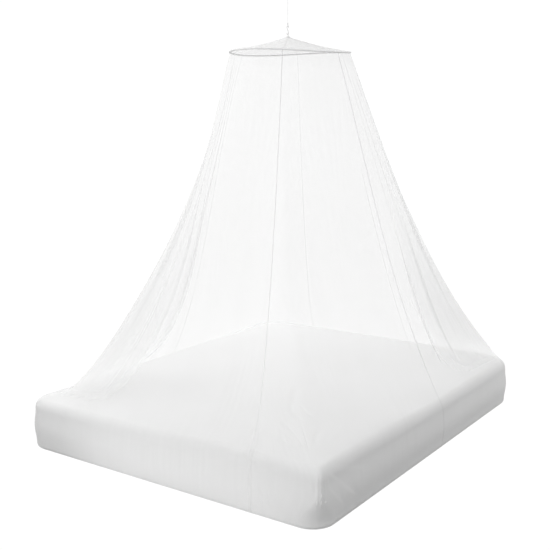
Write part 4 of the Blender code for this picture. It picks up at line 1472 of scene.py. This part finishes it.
def build_mattress(material):
    """The covered mattress: full sides, soft edges and faint wrinkles in its cover."""
    top = BED_HEIGHT - COVER_CLEAR
    edge = EDGE_RADIUS - COVER_CLEAR
    low = LOW_RADIUS - COVER_CLEAR
    quarters = [math.radians(11.25 * n) for n in range(9)]
    levels = [(0.5, COVER_CLEAR), (0.25, COVER_CLEAR)]
    levels += [(LOW_RADIUS - low * math.sin(a), LOW_RADIUS - low * math.cos(a)) for a in quarters]
    sides = [LOW_RADIUS + SIDE_HEIGHT * n / SIDE_LEVELS for n in range(1, SIDE_LEVELS)]
    levels += [(COVER_CLEAR - side_bulge(height), height) for height in sides]
    levels += [(EDGE_RADIUS - edge * math.cos(a), BED_HEIGHT - EDGE_RADIUS + edge * math.sin(a))
               for a in quarters]
    levels += [(mix(EDGE_RADIUS, CROWN_DEPTH, n / TOP_LEVELS), top)
               for n in range(1, TOP_LEVELS + 1)]
    levels += [(mix(CROWN_DEPTH, BED_WIDTH / 2.0 - KEPT_CORNER, n / 8.0), top)
               for n in range(1, 9)]
    azimuths = bed_azimuths()
    verts, uvs = [], []
    for inset, height in levels:
        inward = ease((inset - EDGE_RADIUS) / (CROWN_DEPTH - EDGE_RADIUS))
        for azimuth in azimuths:
            radius = outline_radius(azimuth, inset, height) + side_folds(azimuth, height)
            along = math.radians(azimuth)
            x, y = radius * math.cos(along), radius * math.sin(along)
            z = height * mix(crown(azimuth), 1.0, inward)
            if height >= top - 1e-6:
                z -= cover_dip(x, y, inset)
            verts.append(Vector((x, y, z)))
            uvs.append((x + (height - top if abs(x) > abs(y) * 0.8 else 0.0),
                        y + (height - top if abs(x) <= abs(y) * 0.8 else 0.0)))
    faces = capped_faces(len(levels), len(azimuths))
    piece = outward(mesh_object("covered_mattress", verts, faces, uvs, material))
    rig.ride(piece, "root")
    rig.replaces(piece, "mattress")
    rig.slot(piece, "mattress")
    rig.padded(piece, fill=0.95)


def bed_azimuths():
    """Azimuths round the bed, closer at its corners and closest where the cover is creased."""
    azimuths, azimuth = [], -180.0
    while azimuth < 180.0:
        azimuths.append(azimuth)
        away = min(abs((azimuth - corner.azimuth + 180.0) % 360.0 - 180.0) for corner in CORNERS)
        if CREASED_FROM < azimuth < CREASED_TO:
            azimuth += 0.08
        else:
            azimuth += mix(0.2, 0.8, ease((away - 5.0) / 8.0))
    return azimuths


# creases down the cover's sides by the foot right corner and the front seam:
# degrees and metres; lift is out from the side, drift is how far the crease leans
Pleat = namedtuple("Pleat", "azimuth drift width lift low high")
PLEATS = (
    Pleat(-52.45, 0.30, 0.10, 0.0009, 0.10, 0.215),
    Pleat(-52.05, 0.18, 0.08, -0.0012, 0.11, 0.225),
    Pleat(-51.65, 0.08, 0.09, 0.0010, 0.07, 0.225),
    Pleat(-51.30, 0.00, 0.07, -0.0015, 0.07, 0.235),
    Pleat(-50.95, -0.05, 0.08, 0.0011, 0.06, 0.235),
    Pleat(-50.60, -0.05, 0.06, -0.0016, 0.06, 0.235),
    Pleat(-50.25, 0.05, 0.07, 0.0010, 0.09, 0.235),
    Pleat(-54.60, 0.50, 0.16, -0.0008, 0.03, 0.13),
    Pleat(-63.70, 0.90, 0.20, -0.0008, 0.05, 0.17),
    Pleat(-62.40, 0.40, 0.14, 0.0007, 0.02, 0.14),
    Pleat(-61.50, -0.50, 0.16, -0.0008, 0.02, 0.12),
    Pleat(-60.20, -1.00, 0.20, 0.0009, 0.03, 0.13),
)
# slanting folds on the right side, pulled down from its foot corner
Pull = namedtuple("Pull", "azimuth height far_azimuth far_height depth")
PULLS = (
    Pull(-49.7, 0.205, -41.6, 0.045, 0.0040),
    Pull(-49.8, 0.165, -45.6, 0.050, 0.0024),
    Pull(-49.8, 0.215, -36.0, 0.120, 0.0020),
)
CREASED_FROM, CREASED_TO = -66.0, -40.0


def side_folds(azimuth, height):
    """How far the cover stands out (or back) at its creases."""
    if not CREASED_FROM < azimuth < CREASED_TO + 4.0:
        return 0.0
    out = 0.0
    for pleat in PLEATS:
        up = (height - pleat.low) / (pleat.high - pleat.low)
        away = (azimuth - pleat.azimuth - pleat.drift * (up - 0.5)) / pleat.width
        if -FOLD_FELT < away < FOLD_FELT:
            out += pleat.lift * bump(away) * ease(up / 0.3) * ease((1.0 - up) / 0.3)
    for pull in PULLS:
        along = (azimuth - pull.azimuth) / (pull.far_azimuth - pull.azimuth)
        above = height - mix(pull.height, pull.far_height, along)
        out -= (pull.depth * ease(above / 0.009) * ease((0.10 - above) / 0.085)
                * ease(along / 0.12) * ease((1.0 - along) / 0.35))
    return out


# creases of the cover's top by its foot right corner: from and to, width and depth
Crease = namedtuple("Crease", "x y to_x to_y width depth")
CREASES = (
    Crease(0.67, -0.77, 0.605, -0.486, 0.009, 0.0036),
    Crease(0.66, -0.80, 0.560, -0.590, 0.014, 0.0032),
    Crease(0.45, -0.56, 0.210, -0.300, 0.014, 0.0038),
    Crease(0.44, -0.47, 0.290, -0.340, 0.010, 0.0028),
    Crease(0.58, -0.86, 0.440, -0.730, 0.011, 0.0032),
    Crease(0.30, -0.40, 0.120, -0.080, 0.018, 0.0034),
    Crease(0.50, -0.70, 0.350, -0.560, 0.016, 0.0028),
    Crease(0.40, -0.88, 0.330, -0.700, 0.012, 0.0026),
)


def top_creases(x, y):
    """How deep the creases by the corner are."""
    depth = 0.0
    for crease in CREASES:
        run_x, run_y = crease.to_x - crease.x, crease.to_y - crease.y
        length = math.hypot(run_x, run_y)
        along = ((x - crease.x) * run_x + (y - crease.y) * run_y) / length ** 2
        away = ((x - crease.x) * run_y - (y - crease.y) * run_x) / length
        away += 0.05 * length * math.sin(math.pi * along)
        if 0.0 < along < 1.0:
            depth += crease.depth * bump(away / crease.width) * ease(along / 0.35) \
                * ease((1.0 - along) / 0.35)
    return depth


def cover_dip(x, y, inset):
    """How far the cover's top lies below flat: soft hollows, and pulls from the corners."""
    settle = ease((inset - EDGE_RADIUS) / 0.24)
    hollows = 0.5 + 0.5 * noise.noise(Vector((x * 2.1, y * 2.1, 7.0)))
    fine = 0.5 + 0.5 * noise.noise(Vector((x * 9.0, y * 7.0, 2.0)))
    pulls = 0.0
    for corner_x, corner_y in ((0.7, -0.9), (-0.7, -0.9), (0.7, 0.9), (-0.7, 0.9)):
        away = Vector((x - corner_x, y - corner_y))
        turn = math.degrees(math.atan2(away.y, away.x))
        ridge = abs(noise.noise(Vector((turn * 0.09, corner_x * 3.0, corner_y * 5.0))))
        pulls += (1.0 - min(ridge * 5.0, 1.0)) * ease(away.length / 0.08) \
            * ease((0.55 - away.length) / 0.45)
    return settle * (0.0035 * hollows + 0.0012 * fine + 0.0022 * pulls + top_creases(x, y))


# ------------------------------------------------------------- stage, lights, camera
FLOOR_REFLECTS = 0.38       # the floor's grey to the light that it throws back
FLOOR_SHOWS = 0.0           # and to the camera, which sees its glow alone
FLOOR_GLOW = 1.03
FLOOR_REACH = 60.0
STUDIO_BRIGHT = (-0.26, -0.966, 0.0)    # the direction in which the studio is brightest
STUDIO_LEAST, STUDIO_MOST = 0.57, 1.11
# light from the floor before the foot: from and to a place across or back, and its levels
FILL_RISES = (-0.80, -0.18, 0.0, 0.80)
FILL_FALLS = (0.50, 1.00, 1.0, 0.0)
FILL_ENDS = (-1.2, -0.8, 1.0, 0.0)


def build_stage():
    """A plain pale floor, with nothing on it, white to the camera and dimmer as a reflector."""
    made, tree, shader = new_material("pale_floor", 0.9)
    seen = tree.nodes.new("ShaderNodeLightPath").outputs["Is Camera Ray"]
    shade = map_range(tree, seen, 0.0, 1.0, FLOOR_REFLECTS, FLOOR_SHOWS, smooth=False)
    tree.links.new(shade, shader.inputs["Base Color"])
    place = object_place(tree)
    across, back = dotted(tree, place, (1.0, 0.0, 0.0)), dotted(tree, place, (0.0, 1.0, 0.0))
    fill = math_node(tree, "MULTIPLY", map_range(tree, across, *FILL_RISES),
                     map_range(tree, across, *FILL_FALLS))
    fill = math_node(tree, "MULTIPLY", fill, map_range(tree, back, *FILL_ENDS))
    glow = map_range(tree, seen, 0.0, 1.0, fill, FLOOR_GLOW, smooth=False)
    tree.links.new(glow, shader.inputs["Emission Strength"])
    shader.inputs["Emission Color"].default_value = (1.0, 1.0, 1.0, 1.0)
    shader.inputs["Specular IOR Level"].default_value = 0.0
    corners = [Vector((x * FLOOR_REACH, y * FLOOR_REACH, -0.001))
               for x, y in ((-1, -1), (1, -1), (1, 1), (-1, 1))]
    floor = mesh_object("floor", corners, [(0, 1, 2, 3)], None, made, smooth=False)
    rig.stage(floor)

    world = bpy.data.worlds.new("studio")
    bpy.context.scene.world = world
    world.use_nodes = True
    background = world.node_tree.nodes["Background"]
    tree = world.node_tree
    seen = tree.nodes.new("ShaderNodeLightPath").outputs["Is Camera Ray"]
    towards = tree.nodes.new("ShaderNodeTexCoord").outputs["Generated"]
    light = map_range(tree, dotted(tree, towards, STUDIO_BRIGHT), -1.0, 1.0,
                      STUDIO_LEAST, STUDIO_MOST, smooth=False)
    level = map_range(tree, seen, 0.0, 1.0, light, FLOOR_GLOW, smooth=False)
    tree.links.new(level, background.inputs["Strength"])
    background.inputs["Color"].default_value = (1.0, 1.0, 1.0, 1.0)


Lamp = namedtuple("Lamp", "name at aims size watts")
LAMPS = (
    Lamp("overhead", (-1.8, 0.0, 3.2), (-0.3, -0.2, 0.2), 2.4, 38.0),
    Lamp("above the head", (-0.9, 1.7, 2.3), (-0.1, 0.6, 0.2), 1.4, 14.0),
    Lamp("beside the head", (3.4, 2.6, 0.5), (0.8, 0.9, 0.12), 1.2, 17.0),
)


def build_lights():
    for lamp in LAMPS:
        light = bpy.data.lights.new(lamp.name, "AREA")
        light.shape = "SQUARE"
        light.size = lamp.size
        light.energy = lamp.watts
        made = bpy.data.objects.new(lamp.name, light)
        made.location = lamp.at
        aim = Vector(lamp.aims) - Vector(lamp.at)
        made.rotation_euler = aim.to_track_quat("-Z", "Y").to_euler()
        made.visible_camera = False
        bpy.context.scene.collection.objects.link(made)


def build_camera():
    data = bpy.data.cameras.new("camera")
    data.sensor_fit = "HORIZONTAL"
    data.sensor_width = 36.0
    data.lens = data.sensor_width * FOCAL_PIXELS / PICTURE
    data.clip_start, data.clip_end = 0.05, 200.0
    camera = bpy.data.objects.new("camera", data)
    camera.location = CAMERA_AT
    camera.rotation_euler = (math.radians(90.0 - CAMERA_DOWN), 0.0, math.radians(CAMERA_YAW))
    bpy.context.scene.collection.objects.link(camera)
    bpy.context.scene.camera = camera


# --------------------------------------------------------------------------- the scene
def main():
    groups = {"net": knitted_net_group(), "weave": woven_cloth_group(),
              "tone": faint_tone_group()}
    materials = {key: net_material(netting, groups) for key, netting in NETTINGS.items()}
    materials.update({
        "tape": woven_material("tape", groups, (0.95, 0.95, 0.95), 0.0009, 0.4),
        "mattress": woven_material("cotton_cover", groups, (0.805, 0.805, 0.805), 0.0011, 0.25),
        "hoop": hard_material("hoop_plastic", groups, (0.90, 0.90, 0.90), 0.40, 500.0),
        "hook": hard_material("coated_wire", groups, (0.72, 0.72, 0.72), 0.30, 900.0, coat=0.3),
        "cord": cord_material("twisted_cord", groups, (0.88, 0.88, 0.88)),
        "thread": cord_material("sewing_thread", groups, (0.82, 0.82, 0.82)),
    })
    build_camera()
    build_hanging(materials)

    skirt_rows, roof_rows = [], []
    seams = {}
    for name in GORES:
        seams[name], row = seam_strip(name, materials[SEAM_KIND.get(name, "seam")])
        skirt_rows.append(row)
    for name in GORES:
        gore = build_gore(name, materials["net_across" if name in CUT_ACROSS else "net"])
        cut = GORE_CUTS[name]
        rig.sheet(gore, flat=(cut.hem, cut.length), held="draped",
                 area=(cut.hoop + cut.hem) / 2.0 * cut.length,
                 rests_on=["covered_mattress", "hoop_tape"], with_pieces=[seams[name]])
    for name in GORES:
        roof = build_roof(name, materials["roof"])
        seam, row = roof_seam(name, materials["roof_seam"])
        roof_rows.append(row)
        lines = GORES[name]
        arc = math.radians(lines[-1].at_hoop - lines[0].at_hoop) * HOOP_RADIUS
        middle = (lines[-1].at_hoop + lines[0].at_hoop) / 2.0
        slope = roof_point(middle, HOOP_RADIUS) - roof_point(middle, APEX_RADIUS)
        length = slope.length + ROOF_ALLOWANCE
        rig.sheet(roof, flat=(arc, length), held="stretched", area=arc * length * 0.5,
                 rests_on=["hoop_tape"], with_pieces=[seam])
    build_hoop(materials["hoop"])
    sleeve_rows = build_sleeve(materials["tape"])
    tree = stitch_tree(materials["thread"])
    for name, rows, pitch, length in (("skirt_stitches", skirt_rows, 0.0060, 0.0042),
                                      ("roof_stitches", roof_rows, 0.0060, 0.0042),
                                      ("sleeve_stitches", sleeve_rows, 0.0050, 0.0034)):
        piece = sewn_rows(name, tree, rows, materials["thread"], pitch, length, THREAD_RADIUS)
        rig.ride(piece, "root")
        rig.slot(piece, "tape")
    build_mattress(materials["mattress"])
    build_stage()
    build_lights()

    scene = bpy.context.scene
    scene.view_settings.view_transform = "Standard"
    scene.cycles.transparent_max_bounces = 32
    scene.cycles.max_bounces = 12

    with open("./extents.json", "w", encoding="utf-8") as out:
        json.dump({"cad": [list(corner) for corner in cad_box],
                   "visual": [list(corner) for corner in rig.bounds()]}, out)


main()
